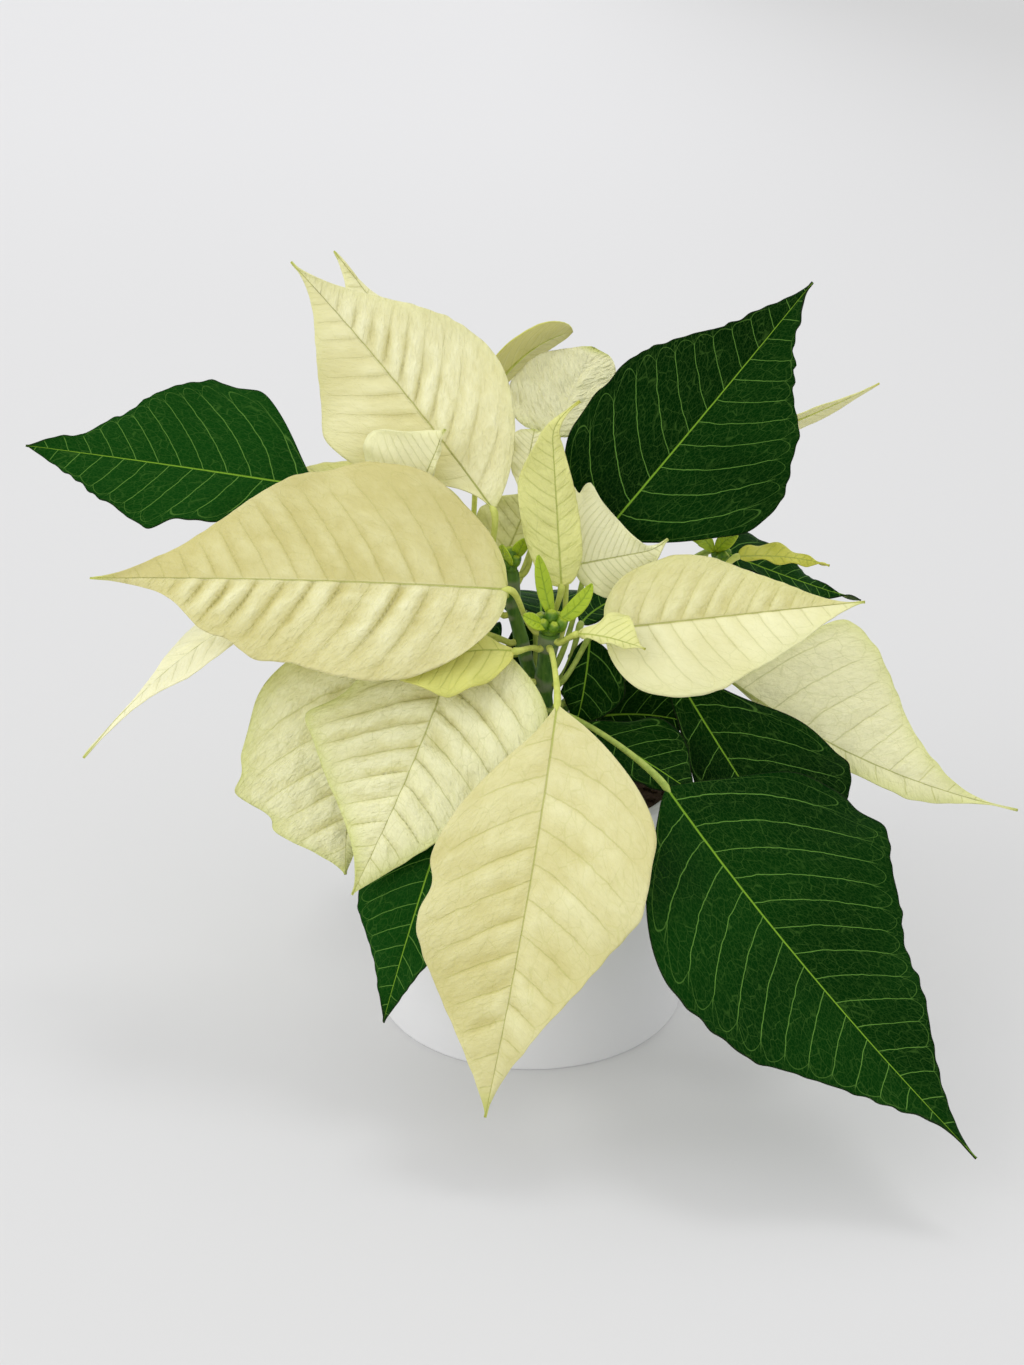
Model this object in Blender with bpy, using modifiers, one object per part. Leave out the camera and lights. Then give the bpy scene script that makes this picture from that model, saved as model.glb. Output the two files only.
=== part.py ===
"""Potted white poinsettia, built at real size.

A plain white pot holds soil. One stem with two branches stands in a hole in the soil. It carries two
clusters of buds, a small shoot, cream bracts and dark green leaves. Each bract and leaf is one solid
with its stalk. Lengths in the tables are millimetres. +Z is up and the viewer's side is -Y.
"""
import math

import bmesh
import bpy
from mathutils import Vector
from mathutils.geometry import interpolate_bezier

MM = 0.001
SMOOTH_ANGLE = math.radians(40)
COLLECTION = "potted_poinsettia"

# Pot and soil
POT_RADIUS = 55.0
POT_HEIGHT = 90.0
POT_WALL = 4.0
POT_FLOOR = 6.0
POT_EDGE = 1.5
POT_STEPS = 48
SOIL_GAP = 0.3
SOIL_EDGE_HEIGHT = 80.0
SOIL_CENTRE_HEIGHT = 84.0
SOIL_SHOULDER = 0.5
SOIL_SHOULDER_DROP = 1.0
SOIL_STEPS = 32

# Stems
STEM_SIDES = 8
HOLE_GAP = 0.3
MERGE_DISTANCE = 0.00001
STEMS = {
    "main": {"radius": 3.2, "points": ((3, 3, 66), (3, 2, 92), (4, 0, 116), (6, -4, 141))},
    "left": {"radius": 2.4, "points": ((3, 1, 110), (-2, 5, 128), (-6, 9, 144), (-7, 10, 158))},
    "right": {"radius": 2.2, "points": ((4, 2, 104), (28, 14, 122), (52, 24, 144), (64, 29, 154))},
}

# Blades and stalks
BLADE_THICKNESS = 0.8
BLADE_ROW_LENGTH = 11.0
LEAST_ROWS = 6
MOST_ROWS = 13
BLADE_COLUMNS = 4
LEAST_HALF_WIDTH = 0.45
LOBE_SPREAD = 0.06
HOOK_START = 0.78
FOLD = 6.0
WAVE = 1.2
SAG = 0.08
STALK_RADIUS = 1.1
STALK_GAP = 0.5
STALK_STEPS = 5
STALK_PULL = 0.3
STALK_END_PULL = 0.18
STALK_RISE = 0.7
STALK_INTO_BLADE = 0.1
STALK_THIN_END = 0.6
STALK_SIDES = 6
WAVES = 3

# A bract or leaf is given by the place where its stalk leaves a stem (the stem, the height and the
# direction in degrees, 0 to the right and 90 to the back), by the start, middle and tip of its
# midrib, and by the way its upper face looks. Each half of the blade, left and right as seen on the
# upper face with the tip up, has a reach, the place of the widest point along the midrib, and two
# powers, for the round of the base and for the taper to the tip. A wave is the height of the ripples
# at the margin, a lobe is (side, place, extra reach), a hook is how far the tip is bent aside, and
# rows is the number of steps along a blade whose margin is cut finely.
LEAVES = {
    "bract_left": {
        "kind": "cream", "root": ("main", 140, 165),
        "start": (-8, -12, 159), "middle": (-76, -14, 163), "tip": (-147, -6, 161),
        "face": (0, -0.76, 0.65), "left": (34.1, 0.33, 0.51, 1.97), "right": (43.2, 0.37, 0.48, 1.81),
        "lobes": (("left", 0.6, 5), ("left", 0.72, 5.5), ("right", 0.2, 1.6), ("right", 0.45, -1.7)),
    },
    "bract_back_left": {
        "kind": "cream", "root": ("left", 155, 190),
        "start": (-13, 12, 179), "middle": (-46, 38, 216), "tip": (-83, 58, 254),
        "face": (-0.3, -0.8, 0.5), "left": (30.5, 0.45, 1.9, 1.9), "right": (32.5, 0.38, 0.73, 1.6),
        "lobes": (("left", 0.53, 2.5),),
    },
    "bract_behind_left": {
        "kind": "cream", "root": ("left", 143, 165),
        "start": (-22, 54, 197), "middle": (-46, 68, 225), "tip": (-70, 80, 254),
        "face": (0.2, -0.7, 0.7), "left": (18, 0.5, 0.6, 1.8), "right": (12, 0.4, 0.6, 2.8),
    },
    "bract_small_folded": {
        "kind": "cream", "root": ("left", 150, 215),
        "start": (-41, 14, 180), "middle": (-35, 16, 192), "tip": (-29, 12, 207),
        "face": (0, -0.8, 0.6), "left": (24, 0.5, 0.3, 1.6), "right": (3, 0.3, 0.7, 1.5),
    },
    "bract_edge_behind_left": {
        "kind": "young", "root": ("left", 147, 160),
        "start": (-18, 16, 167), "middle": (-46, 30, 180), "tip": (-87, 26, 183),
        "face": (0, -0.6, 0.8), "left": (12, 0.5, 0.6, 1.2), "right": (11, 0.65, 0.7, 0.7),
    },
    "bract_front": {
        "kind": "cream", "root": ("main", 137, 275),
        "start": (8, -36, 128), "middle": (-2, -89, 85), "tip": (-15, -115, 24),
        "face": (-0.1, -0.7, 0.7), "left": (36.9, 0.35, 1.05, 1.66), "right": (34.5, 0.51, 1.16, 1.34),
        "lobes": (("left", 0.5, 2.5), ("right", 0.5, -4)),
    },
    "bract_right": {
        "kind": "cream", "root": ("main", 138.5, 350),
        "start": (24, -10, 144), "middle": (64, -13, 150), "tip": (109, -18, 157),
        "face": (0, -0.75, 0.65), "left": (23.5, 0.32, 0.4, 1.8), "right": (27, 0.31, 0.41, 1.25),
    },
    "bract_small_right": {
        "kind": "young", "root": ("main", 139, 315),
        "start": (15, -14, 144), "middle": (25, -20, 145), "tip": (37, -25, 143),
        "face": (0, -0.7, 0.7), "left": (10, 0.6, 1.3, 2.0), "right": (2.2, 0.6, 0.6, 1.0),
    },
    "bract_upright": {
        "kind": "young", "root": ("main", 139, 85),
        "start": (10, 2, 155), "middle": (8, 10, 186), "tip": (6, 18, 215), "hook": (10, 0, 0),
        "face": (0, -0.95, 0.3), "left": (12.9, 0.51, 0.38, 2.0), "right": (7.9, 0.21, 0.41, 1.2),
    },
    "bract_back_middle": {
        "kind": "cream", "root": ("left", 153, 60),
        "start": (9, 36, 198), "middle": (14, 50, 209), "tip": (22, 64, 223),
        "face": (0, -0.75, 0.65), "left": (21.5, 0.45, 0.25, 0.68), "right": (12, 0.78, 0.5, 0.35),
    },
    "bract_shaded": {
        "kind": "cream", "root": ("left", 156, 20),
        "start": (-3, 17, 184), "middle": (-1, 22, 194), "tip": (1, 27, 203),
        "face": (0, -0.9, 0.4), "left": (7.5, 0.75, 0.7, 0.35), "right": (7, 0.7, 0.7, 0.35),
    },
    "bract_behind_buds": {
        "kind": "cream", "root": ("left", 147, 110),
        "start": (-9, 19, 160), "middle": (-4, 26, 170), "tip": (0, 31, 179),
        "face": (0, -0.85, 0.5), "left": (15, 0.4, 0.6, 0.8), "right": (5, 0.5, 0.6, 0.8),
    },
    "bract_olive_behind": {
        "kind": "young", "root": ("left", 143, 85),
        "start": (-17, 60, 204), "middle": (-2, 66, 220), "tip": (15, 72, 227),
        "face": (0, 0.6, 0.8), "left": (11, 0.75, 0.8, 0.5), "right": (16, 0.6, 0.5, 0.7),
        "wave": 0.0,
    },
    "bract_inner_right": {
        "kind": "cream", "root": ("main", 136, 45),
        "start": (14, 7, 161), "middle": (29, 10, 163), "tip": (46, 8, 167), "hook": (0, 0, 3),
        "face": (0, -0.97, 0.2), "left": (28, 0.15, 0.3, 2.3), "right": (14.7, 0.49, 0.58, 1.5),
        "lobes": (("left", 0.2, -4), ("left", 0.36, 3)),
    },
    "bract_far_right": {
        "kind": "young", "root": ("right", 150, 50),
        "start": (76, 58, 191), "middle": (99, 64, 198), "tip": (126, 72, 208),
        "face": (0, 0.6, 0.8), "left": (14, 0.5, 0.6, 1.2), "right": (6, 0.3, 0.7, 2.0),
        "wave": 0.0,
    },
    "bract_small_far_right": {
        "kind": "young", "root": ("right", 148, 330),
        "start": (72, 25, 158), "middle": (89, 27, 157), "tip": (104, 24, 155),
        "face": (0, -0.5, 0.85), "left": (5.7, 0.35, 0.4, 2.2), "right": (2.8, 0.5, 0.4, 1.3),
    },
    "bract_drooping_right": {
        "kind": "cream", "root": ("right", 134, 300),
        "start": (68, 6, 120), "middle": (115.5, -4, 93.5), "tip": (168, -14, 79),
        "face": (-0.2, -0.8, 0.55), "left": (41.2, 0.24, 1.25, 2.7), "right": (6.8, 0.65, 1.3, 2.7),
    },
    "bract_front_left": {
        "kind": "cream", "root": ("main", 122, 200),
        "start": (-23, -3, 144), "middle": (-37, -37, 113), "tip": (-58, -67, 75),
        "face": (-0.15, -0.75, 0.6), "left": (38.5, 0.34, 0.96, 1.17), "right": (36.5, 0.5, 1.3, 1.75),
        "lobes": (("right", 0.52, 4), ("right", 0.38, -2), ("left", 0.63, 2)),
    },
    "bract_under_left": {
        "kind": "young", "root": ("main", 136, 225),
        "start": (-6, -19, 140), "middle": (-27, -24, 141), "tip": (-50, -29, 136),
        "face": (0, -0.6, 0.8), "left": (15.7, 0.58, 0.56, 1.4), "right": (7, 0.5, 0.6, 1.4),
    },
    "bract_lower_left": {
        "kind": "cream", "root": ("main", 113, 205),
        "start": (-54, -6, 137), "middle": (-60, -28, 104), "tip": (-62, -44, 70),
        "face": (-0.1, -0.7, 0.7), "left": (12, 0.45, 0.8, 1.2), "right": (38, 0.5, 0.3, 1.2),
        "lobes": (("right", 0.68, 7), ("right", 0.83, 6.5)),
    },
    "bract_far_left": {
        "kind": "cream", "root": ("left", 134, 200),
        "start": (-82, 4, 150), "middle": (-116, -10, 135), "tip": (-148, -34, 108),
        "face": (-0.5, -0.1, 0.85), "left": (21.5, 0.46, 1.3, 2.8), "right": (22.5, 0.3, 0.7, 4.2),
        "wave": 0.4,
    },
    "leaf_back_right": {
        "kind": "dark", "root": ("main", 125, 50), "rows": 20,
        "start": (23, 19, 166), "middle": (60, 30, 209), "tip": (95, 42, 250),
        "face": (0.1, -0.85, 0.5), "left": (35.4, 0.33, 0.46, 1.45), "right": (38.2, 0.39, 0.92, 2.16),
        "lobes": (
            ("left", 0.28, -1.4), ("left", 0.38, -2.4), ("left", 0.56, -1.2), ("left", 0.65, -1.3),
            ("left", 0.74, -2.7), ("right", 0.3, 2), ("right", 0.4, 2), ("right", 0.5, 1),
            ("right", 0.62, 3.6), ("right", 0.75, 1.6), ("right", 0.88, 2.2),
        ),
    },
    "leaf_left": {
        "kind": "dark", "root": ("left", 130, 170), "rows": 18,
        "start": (-71, 20, 184), "middle": (-120, 26, 190), "tip": (-173, 28, 197),
        "face": (0, -0.7, 0.7), "left": (20.9, 0.49, 0.76, 1.1), "right": (36.5, 0.36, 1.47, 1.25),
        "lobes": (
            ("left", 0.3, -1.6), ("left", 0.48, -1), ("left", 0.56, 3.6), ("left", 0.64, 2.5),
            ("left", 0.74, 1.9), ("right", 0.24, -0.6), ("right", 0.36, -3.1), ("right", 0.72, -3.1),
            ("right", 0.84, -3.8),
        ),
    },
    "leaf_front_right": {
        "kind": "dark", "root": ("main", 112, 290), "rows": 20,
        "start": (43, -50, 105), "middle": (83, -95, 66), "tip": (131, -137, 25),
        "face": (0.1, -0.6, 0.8), "left": (47.6, 0.27, 0.84, 1.42), "right": (40.6, 0.41, 0.92, 2.1),
        "lobes": (
            ("left", 0.12, 5), ("left", 0.24, 2), ("left", 0.36, 6), ("left", 0.48, 1.5),
            ("left", 0.6, -1), ("left", 0.72, 1.2), ("right", 0.1, -1.4), ("right", 0.45, -1.7),
            ("right", 0.6, 3), ("right", 0.72, 1.4), ("right", 0.82, 1.1),
        ),
    },
    "leaf_front_left": {
        "kind": "dark", "root": ("main", 106, 235),
        "start": (-25, -40, 99), "middle": (-37, -66, 71), "tip": (-49, -68, 28),
        "face": (-0.3, -0.8, 0.5), "left": (17, 0.3, 0.7, 1.2), "right": (21.5, 0.46, 0.7, 1.45),
    },
    "leaf_far_right": {
        "kind": "dark", "root": ("right", 143, 150),
        "start": (67, 38, 156), "middle": (93, 36, 146), "tip": (117, 30, 140),
        "face": (0, -0.3, 0.95), "left": (17, 0.2, 0.7, 3.0), "right": (7.3, 0.57, 0.4, 2.5),
    },
    "leaf_centre": {
        "kind": "dark", "root": ("main", 122, 330),
        "start": (20, 3, 136), "middle": (18, -3, 120), "tip": (15, -5, 106),
        "face": (0, -0.7, 0.7), "left": (14.3, 0.47, 0.67, 1.3), "right": (7.5, 0.45, 0.5, 1.2),
    },
    "leaf_under_right": {
        "kind": "dark", "root": ("main", 102, 315),
        "start": (16, -14, 112), "middle": (35, -33, 108), "tip": (55, -46, 99),
        "face": (0, -0.5, 0.85), "left": (17.7, 0.53, 1.3, 1.6), "right": (10, 0.5, 1.2, 1.4),
    },
    "leaf_shaded_right": {
        "kind": "dark", "root": ("main", 94, 12),
        "start": (22, 9, 104), "middle": (41, 11, 104), "tip": (60, 13, 99),
        "face": (0, -0.9, 0.4), "left": (17, 0.5, 0.6, 0.9), "right": (7, 0.5, 0.7, 1.0),
    },
    "leaf_low_right": {
        "kind": "dark", "root": ("main", 112, 350),
        "start": (47, 0, 128), "middle": (69, -26, 98), "tip": (92, -52, 70),
        "face": (0, -0.6, 0.8), "left": (35, 0.66, 1.2, 1.3), "right": (15, 0.6, 0.9, 1.3),
    },
    "leaf_centre_left": {
        "kind": "dark", "root": ("left", 122, 75),
        "start": (1, 12, 139), "middle": (1, 11, 125), "tip": (1, 10, 111),
        "face": (0, -0.9, 0.3), "left": (4, 0.4, 0.8, 0.8), "right": (9.5, 0.35, 0.45, 1.0),
    },
    "leaf_back_centre": {
        "kind": "dark", "root": ("main", 121, 20),
        "start": (17, 9, 139), "middle": (29, 30, 140), "tip": (49, 46, 140),
        "face": (0, -0.7, 0.7), "left": (8, 0.5, 0.7, 1.2), "right": (6, 0.4, 0.7, 1.2),
    },
    "leaf_back_left_low": {
        "kind": "dark", "root": ("main", 100, 125),
        "start": (-18, 36, 116), "middle": (-40, 70, 106), "tip": (-64, 98, 66),
        "face": (-0.4, 0.5, 0.8), "left": (25, 0.4, 0.7, 1.5), "right": (25, 0.4, 0.7, 1.5),
    },
    "leaf_back_right_low": {
        "kind": "dark", "root": ("main", 97, 60),
        "start": (20, 28, 107), "middle": (42, 56, 99), "tip": (66, 92, 62),
        "face": (0.3, 0.1, 0.95), "left": (24, 0.4, 0.7, 1.5), "right": (24, 0.4, 0.7, 1.5),
    },
    "leaf_back_low": {
        "kind": "dark", "root": ("main", 105, 95),
        "start": (4, 48, 128), "middle": (2, 82, 124), "tip": (-4, 116, 94),
        "face": (0, 0.4, 0.9), "left": (26, 0.4, 0.7, 1.6), "right": (26, 0.4, 0.7, 1.6),
    },
}

# Buds: each cluster is a ring of buds round one in the middle, on the end of a stem
CLUSTERS = {
    "buds_main": {"kind": "bud", "stem": "main", "buds": 6, "ring": 3.4, "radius": 2.4},
    "buds_left": {"kind": "bud", "stem": "left", "buds": 4, "ring": 2.6, "radius": 2.4},
    "shoot_right": {"kind": "bud", "stem": "right", "buds": 3, "ring": 2.4, "radius": 2.2},
}
BUD_STRETCH = 1.35
MIDDLE_BUD_RISE = 0.8

# Leaflets that stand among the buds, in the same terms as the leaves, alike on both sides
LEAFLETS = {
    "buds_main": (
        {"start": (7, -3, 145), "middle": (4, -3, 157), "tip": (2, -3, 168), "face": (0.4, -0.9, 0.2)},
        {"start": (8, -5, 145), "middle": (15, -6, 151), "tip": (20, -6, 159), "face": (0, -0.9, 0.4)},
        {"start": (5, -6, 144), "middle": (1, -10, 147), "tip": (-3, -12, 150), "face": (0, -0.7, 0.7)},
    ),
    "buds_left": (
        {"start": (-7, 9, 161), "middle": (-9, 4, 165), "tip": (-10, 2, 170), "face": (-0.5, -0.8, 0.3)},
        {"start": (-6, 11, 161), "middle": (-4, 10, 166), "tip": (-2, 9, 170), "face": (0.5, -0.8, 0.3)},
    ),
    "shoot_right": (
        {"start": (65, 30, 158), "middle": (68, 28, 163), "tip": (72, 28, 165), "face": (0, -0.8, 0.5)},
        {"start": (64, 30, 158), "middle": (60, 29, 163), "tip": (56, 29, 163), "face": (0, -0.8, 0.5)},
    ),
}
LEAFLET_HALF = (2.9, 0.5, 0.6, 0.6)

MATERIALS = {
    "cream": {"colour": (0.80, 0.78, 0.52), "roughness": 0.55},
    "young": {"colour": (0.62, 0.66, 0.22), "roughness": 0.55},
    "dark": {"colour": (0.015, 0.075, 0.022), "roughness": 0.42},
    "stem": {"colour": (0.16, 0.30, 0.04), "roughness": 0.5},
    "bud": {"colour": (0.22, 0.42, 0.04), "roughness": 0.5},
    "soil": {"colour": (0.05, 0.03, 0.02), "roughness": 0.95},
    "pot": {"colour": (0.86, 0.86, 0.87), "roughness": 0.25},
}


def clear_scene():
    for item in list(bpy.data.objects):
        bpy.data.objects.remove(item, do_unlink=True)


def make_collection(name):
    group = bpy.data.collections.new(name)
    bpy.context.scene.collection.children.link(group)
    return group


def make_material(name, colour, roughness):
    material = bpy.data.materials.new(name)
    material.use_nodes = True
    shader = material.node_tree.nodes["Principled BSDF"]
    shader.inputs["Base Color"].default_value = (*colour, 1.0)
    shader.inputs["Roughness"].default_value = roughness
    shader.inputs["Metallic"].default_value = 0.0
    material.diffuse_color = (*colour, 1.0)
    return material


def add_object(group, name, mesh, material):
    item = bpy.data.objects.new(name, mesh)
    mesh.materials.append(material)
    group.objects.link(item)
    return item


def shade_round(mesh):
    """Smooth shading for a round piece, with its sharp rims kept."""
    bm = bmesh.new()
    bm.from_mesh(mesh)
    for face in bm.faces:
        face.smooth = True
    for edge in bm.edges:
        edge.smooth = len(edge.link_faces) == 2 and edge.calc_face_angle() < SMOOTH_ANGLE
    bm.to_mesh(mesh)
    bm.free()


def apply_modifiers(item):
    depsgraph = bpy.context.evaluated_depsgraph_get()
    mesh = bpy.data.meshes.new_from_object(item.evaluated_get(depsgraph))
    item.modifiers.clear()
    item.data = mesh


def combine(item, other, operation):
    """Join another object to this one, or cut it away, and drop it."""
    modifier = item.modifiers.new("combine", "BOOLEAN")
    modifier.operation = operation
    modifier.object = other
    modifier.use_self = operation == "UNION"
    bpy.context.view_layer.update()
    apply_modifiers(item)
    bpy.data.objects.remove(other, do_unlink=True)


def tube(group, name, points, radii, sides, material):
    """Round bar along a line of points, with closed ends."""
    curve = bpy.data.curves.new(name, "CURVE")
    curve.dimensions = "3D"
    curve.bevel_depth = MM
    curve.bevel_resolution = sides // 2 - 2
    curve.use_fill_caps = True
    line = curve.splines.new("POLY")
    line.points.add(len(points) - 1)
    for knot, place, radius in zip(line.points, points, radii):
        knot.co = (*(Vector(place) * MM), 1.0)
        knot.radius = radius
    source = bpy.data.objects.new(name + "_line", curve)
    group.objects.link(source)
    bpy.context.view_layer.update()
    mesh = bpy.data.meshes.new_from_object(source)
    bpy.data.objects.remove(source, do_unlink=True)
    bm = bmesh.new()
    bm.from_mesh(mesh)
    bmesh.ops.remove_doubles(bm, verts=bm.verts, dist=MERGE_DISTANCE)
    bmesh.ops.recalc_face_normals(bm, faces=bm.faces)
    bm.to_mesh(mesh)
    bm.free()
    return add_object(group, name, mesh, material)


def turned(group, name, profile, steps, material):
    """Solid of revolution from a profile of (radius, height) in millimetres, top to bottom."""
    mesh = bpy.data.meshes.new(name)
    points = [(radius * MM, 0.0, height * MM) for radius, height in profile]
    edges = [(index, index + 1) for index in range(len(points) - 1)]
    mesh.from_pydata(points, edges, [])
    item = add_object(group, name, mesh, material)
    screw = item.modifiers.new("turn", "SCREW")
    screw.steps = steps
    screw.render_steps = steps
    screw.use_merge_vertices = True
    screw.merge_threshold = MERGE_DISTANCE
    screw.use_normal_calculate = True
    apply_modifiers(item)
    face_outwards(item.data)
    return item


def face_outwards(mesh):
    bm = bmesh.new()
    bm.from_mesh(mesh)
    bmesh.ops.recalc_face_normals(bm, faces=bm.faces)
    if bm.calc_volume(signed=True) < 0:
        bmesh.ops.reverse_faces(bm, faces=bm.faces)
    bm.to_mesh(mesh)
    bm.free()


def rounded_corner(centre, radius, start_degrees, end_degrees, count=3):
    """Points of an arc round (radius, height), from one angle to another."""
    points = []
    for step in range(count + 1):
        angle = math.radians(start_degrees + (end_degrees - start_degrees) * step / count)
        points.append((centre[0] + radius * math.cos(angle), centre[1] + radius * math.sin(angle)))
    return points


def make_pot(group, material):
    inner = POT_RADIUS - POT_WALL
    lip = POT_WALL / 2
    profile = [(0.0, POT_FLOOR), (inner, POT_FLOOR)]
    profile += rounded_corner((inner + lip, POT_HEIGHT - lip), lip, 180, 0, 4)
    profile += rounded_corner((POT_RADIUS - POT_EDGE, POT_EDGE), POT_EDGE, 0, -90, 2)
    profile += [(0.0, 0.0)]
    return turned(group, "pot", profile, POT_STEPS, material)


def make_soil(group, material):
    edge = POT_RADIUS - POT_WALL - SOIL_GAP
    floor = POT_FLOOR + SOIL_GAP
    profile = [
        (0.0, SOIL_CENTRE_HEIGHT),
        (edge * SOIL_SHOULDER, SOIL_CENTRE_HEIGHT - SOIL_SHOULDER_DROP),
        (edge, SOIL_EDGE_HEIGHT),
        (edge, floor),
        (0.0, floor),
    ]
    soil = turned(group, "soil", profile, SOIL_STEPS, material)
    main = STEMS["main"]
    foot = Vector(main["points"][0]) - Vector((0, 0, HOLE_GAP))
    above = Vector(main["points"][1])
    width = main["radius"] + HOLE_GAP
    hole = tube(group, "stem_hole", (foot, above), (width, width), STEM_SIDES, material)
    combine(soil, hole, "DIFFERENCE")
    return soil


def make_stem(group, material):
    parts = []
    for name, stem in STEMS.items():
        radii = [stem["radius"]] * len(stem["points"])
        parts.append(tube(group, "stem_" + name, stem["points"], radii, STEM_SIDES, material))
    trunk = parts[0]
    for branch in parts[1:]:
        combine(trunk, branch, "UNION")
    trunk.name = "stem"
    return trunk


def stem_exit(stem_name, height, degrees):
    """Point just off a stem's skin at a height, and the way out from the stem's axis there."""
    stem = STEMS[stem_name]
    points = [Vector(point) for point in stem["points"]]
    for low, high in zip(points, points[1:]):
        if height <= high.z:
            break
    axis = (high - low).normalized()
    share = (height - low.z) / (high.z - low.z)
    centre = low.lerp(high, share)
    angle = math.radians(degrees)
    out = Vector((math.cos(angle), math.sin(angle), 0.0))
    out = (out - out.project(axis)).normalized()
    return centre + out * (stem["radius"] + STALK_GAP), out


def midrib_point(leaf, place):
    """Point of the midrib, 0 at the blade's base and 1 at its tip."""
    start, middle, tip = (Vector(leaf[key]) for key in ("start", "middle", "tip"))
    bend = middle * 2 - (start + tip) / 2
    hook = Vector(leaf.get("hook", (0, 0, 0))) * (max(place - HOOK_START, 0.0) / (1 - HOOK_START)) ** 2
    return start * (1 - place) ** 2 + bend * 2 * place * (1 - place) + tip * place ** 2 + hook


def midrib_frame(leaf, place):
    """Directions at a point of the midrib: along it, to the left of the blade and off its face."""
    step = 0.01
    ahead = midrib_point(leaf, min(place + step, 1.0)) - midrib_point(leaf, max(place - step, 0.0))
    along = ahead.normalized()
    left = Vector(leaf["face"]).cross(along).normalized()
    return along, left, along.cross(left)


def half_width(leaf, place, side):
    """Reach of one half of the blade at a place along the midrib."""
    reach, widest, base_power, tip_power = leaf[side]
    if place < widest:
        share = math.sin(math.pi / 2 * place / widest) ** base_power
    else:
        share = max(math.cos(math.pi / 2 * (place - widest) / (1 - widest)), 0.0) ** tip_power
    width = reach * share
    for lobe_side, lobe_place, extra in leaf.get("lobes", ()):
        if lobe_side == side:
            width += extra * math.exp(-((place - lobe_place) / LOBE_SPREAD) ** 2)
    return max(width, LEAST_HALF_WIDTH)


def blade_point(leaf, place, across):
    """Point of the blade's middle surface; across runs from -1 at the right margin to 1 at the left."""
    along, left, off = midrib_frame(leaf, place)
    side = "left" if across > 0 else "right"
    width = half_width(leaf, place, side) * abs(across)
    fold = math.radians(FOLD)
    ripple = leaf.get("wave", WAVE) * math.sin(2 * math.pi * WAVES * place) * across * abs(across)
    sag = SAG * width * abs(across)
    sideways = left * math.copysign(width * math.cos(fold), across)
    return midrib_point(leaf, place) + sideways + off * (width * math.sin(fold) - sag + ripple)


def make_blade(group, name, leaf, material):
    length = (Vector(leaf["tip"]) - Vector(leaf["start"])).length
    usual_rows = min(max(round(length / BLADE_ROW_LENGTH), LEAST_ROWS), MOST_ROWS)
    rows = leaf.get("rows", usual_rows)
    bm = bmesh.new()
    bmesh.ops.create_grid(bm, x_segments=BLADE_COLUMNS, y_segments=rows, size=1.0)
    for vert in bm.verts:
        place = (vert.co.y + 1) / 2
        vert.co = blade_point(leaf, place, vert.co.x) * MM
    bmesh.ops.triangulate(bm, faces=bm.faces)
    mesh = bpy.data.meshes.new(name)
    bm.to_mesh(mesh)
    bm.free()
    blade = add_object(group, name, mesh, material)
    solidify = blade.modifiers.new("thickness", "SOLIDIFY")
    solidify.thickness = BLADE_THICKNESS * MM
    solidify.offset = 0.0
    apply_modifiers(blade)
    face_outwards(blade.data)
    return blade


def stalk_line(leaf):
    """Smooth line from the stem's skin to the blade's base and a little way under the midrib."""
    root, out = stem_exit(*leaf["root"])
    start = Vector(leaf["start"])
    along = midrib_frame(leaf, 0.0)[0]
    reach = (start - root).length
    neck = root + out * STALK_RADIUS
    rise = (out + Vector((0, 0, STALK_RISE))).normalized()
    leave = neck + rise * reach * STALK_PULL
    arrive = start - along * reach * STALK_END_PULL
    line = interpolate_bezier(neck, leave, arrive, start, STALK_STEPS)
    return [root] + line + [midrib_point(leaf, STALK_INTO_BLADE)]


def make_leaf(group, name, leaf, material):
    blade = make_blade(group, name, leaf, material)
    line = stalk_line(leaf)
    radii = [STALK_RADIUS] * (len(line) - 1) + [STALK_RADIUS * STALK_THIN_END]
    stalk = tube(group, name + "_stalk", line, radii, STALK_SIDES, material)
    combine(blade, stalk, "UNION")
    return blade


def make_cluster(group, name, cluster, material):
    """Buds in a ring round one in the middle, on the end of a stem."""
    stem = STEMS[cluster["stem"]]
    top = Vector(stem["points"][-1])
    axis = (top - Vector(stem["points"][-2])).normalized()
    side = axis.orthogonal().normalized()
    radius = cluster["radius"]
    centre = top + axis * (radius * BUD_STRETCH + STALK_GAP)
    places = [centre + axis * radius * MIDDLE_BUD_RISE]
    for index in range(cluster["buds"]):
        angle = 2 * math.pi * index / cluster["buds"]
        around = side * math.cos(angle) + axis.cross(side) * math.sin(angle)
        places.append(centre + around * cluster["ring"])
    merged = None
    for place in places:
        bud = make_bud(group, name, place, radius, axis, material)
        if merged:
            combine(merged, bud, "UNION")
        else:
            merged = bud
    for leaflet in LEAFLETS[name]:
        shape = {**leaflet, "left": LEAFLET_HALF, "right": LEAFLET_HALF, "wave": 0.0}
        combine(merged, make_blade(group, name + "_leaflet", shape, material), "UNION")
    return merged


def make_bud(group, name, place, radius, axis, material):
    bm = bmesh.new()
    bmesh.ops.create_icosphere(bm, subdivisions=1, radius=radius * MM)
    turn = axis.to_track_quat("Z", "Y")
    for vert in bm.verts:
        vert.co.z *= BUD_STRETCH
        vert.co = turn @ vert.co + place * MM
    mesh = bpy.data.meshes.new(name)
    bm.to_mesh(mesh)
    bm.free()
    return add_object(group, name, mesh, material)


def main():
    clear_scene()
    group = make_collection(COLLECTION)
    materials = {name: make_material(name, **values) for name, values in MATERIALS.items()}
    pot = make_pot(group, materials["pot"])
    soil = make_soil(group, materials["soil"])
    stem = make_stem(group, materials["stem"])
    for item in (pot, soil, stem):
        shade_round(item.data)
    for name, leaf in LEAVES.items():
        make_leaf(group, name, leaf, materials[leaf["kind"]])
    for name, cluster in CLUSTERS.items():
        make_cluster(group, name, cluster, materials[cluster["kind"]])


main()
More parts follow.
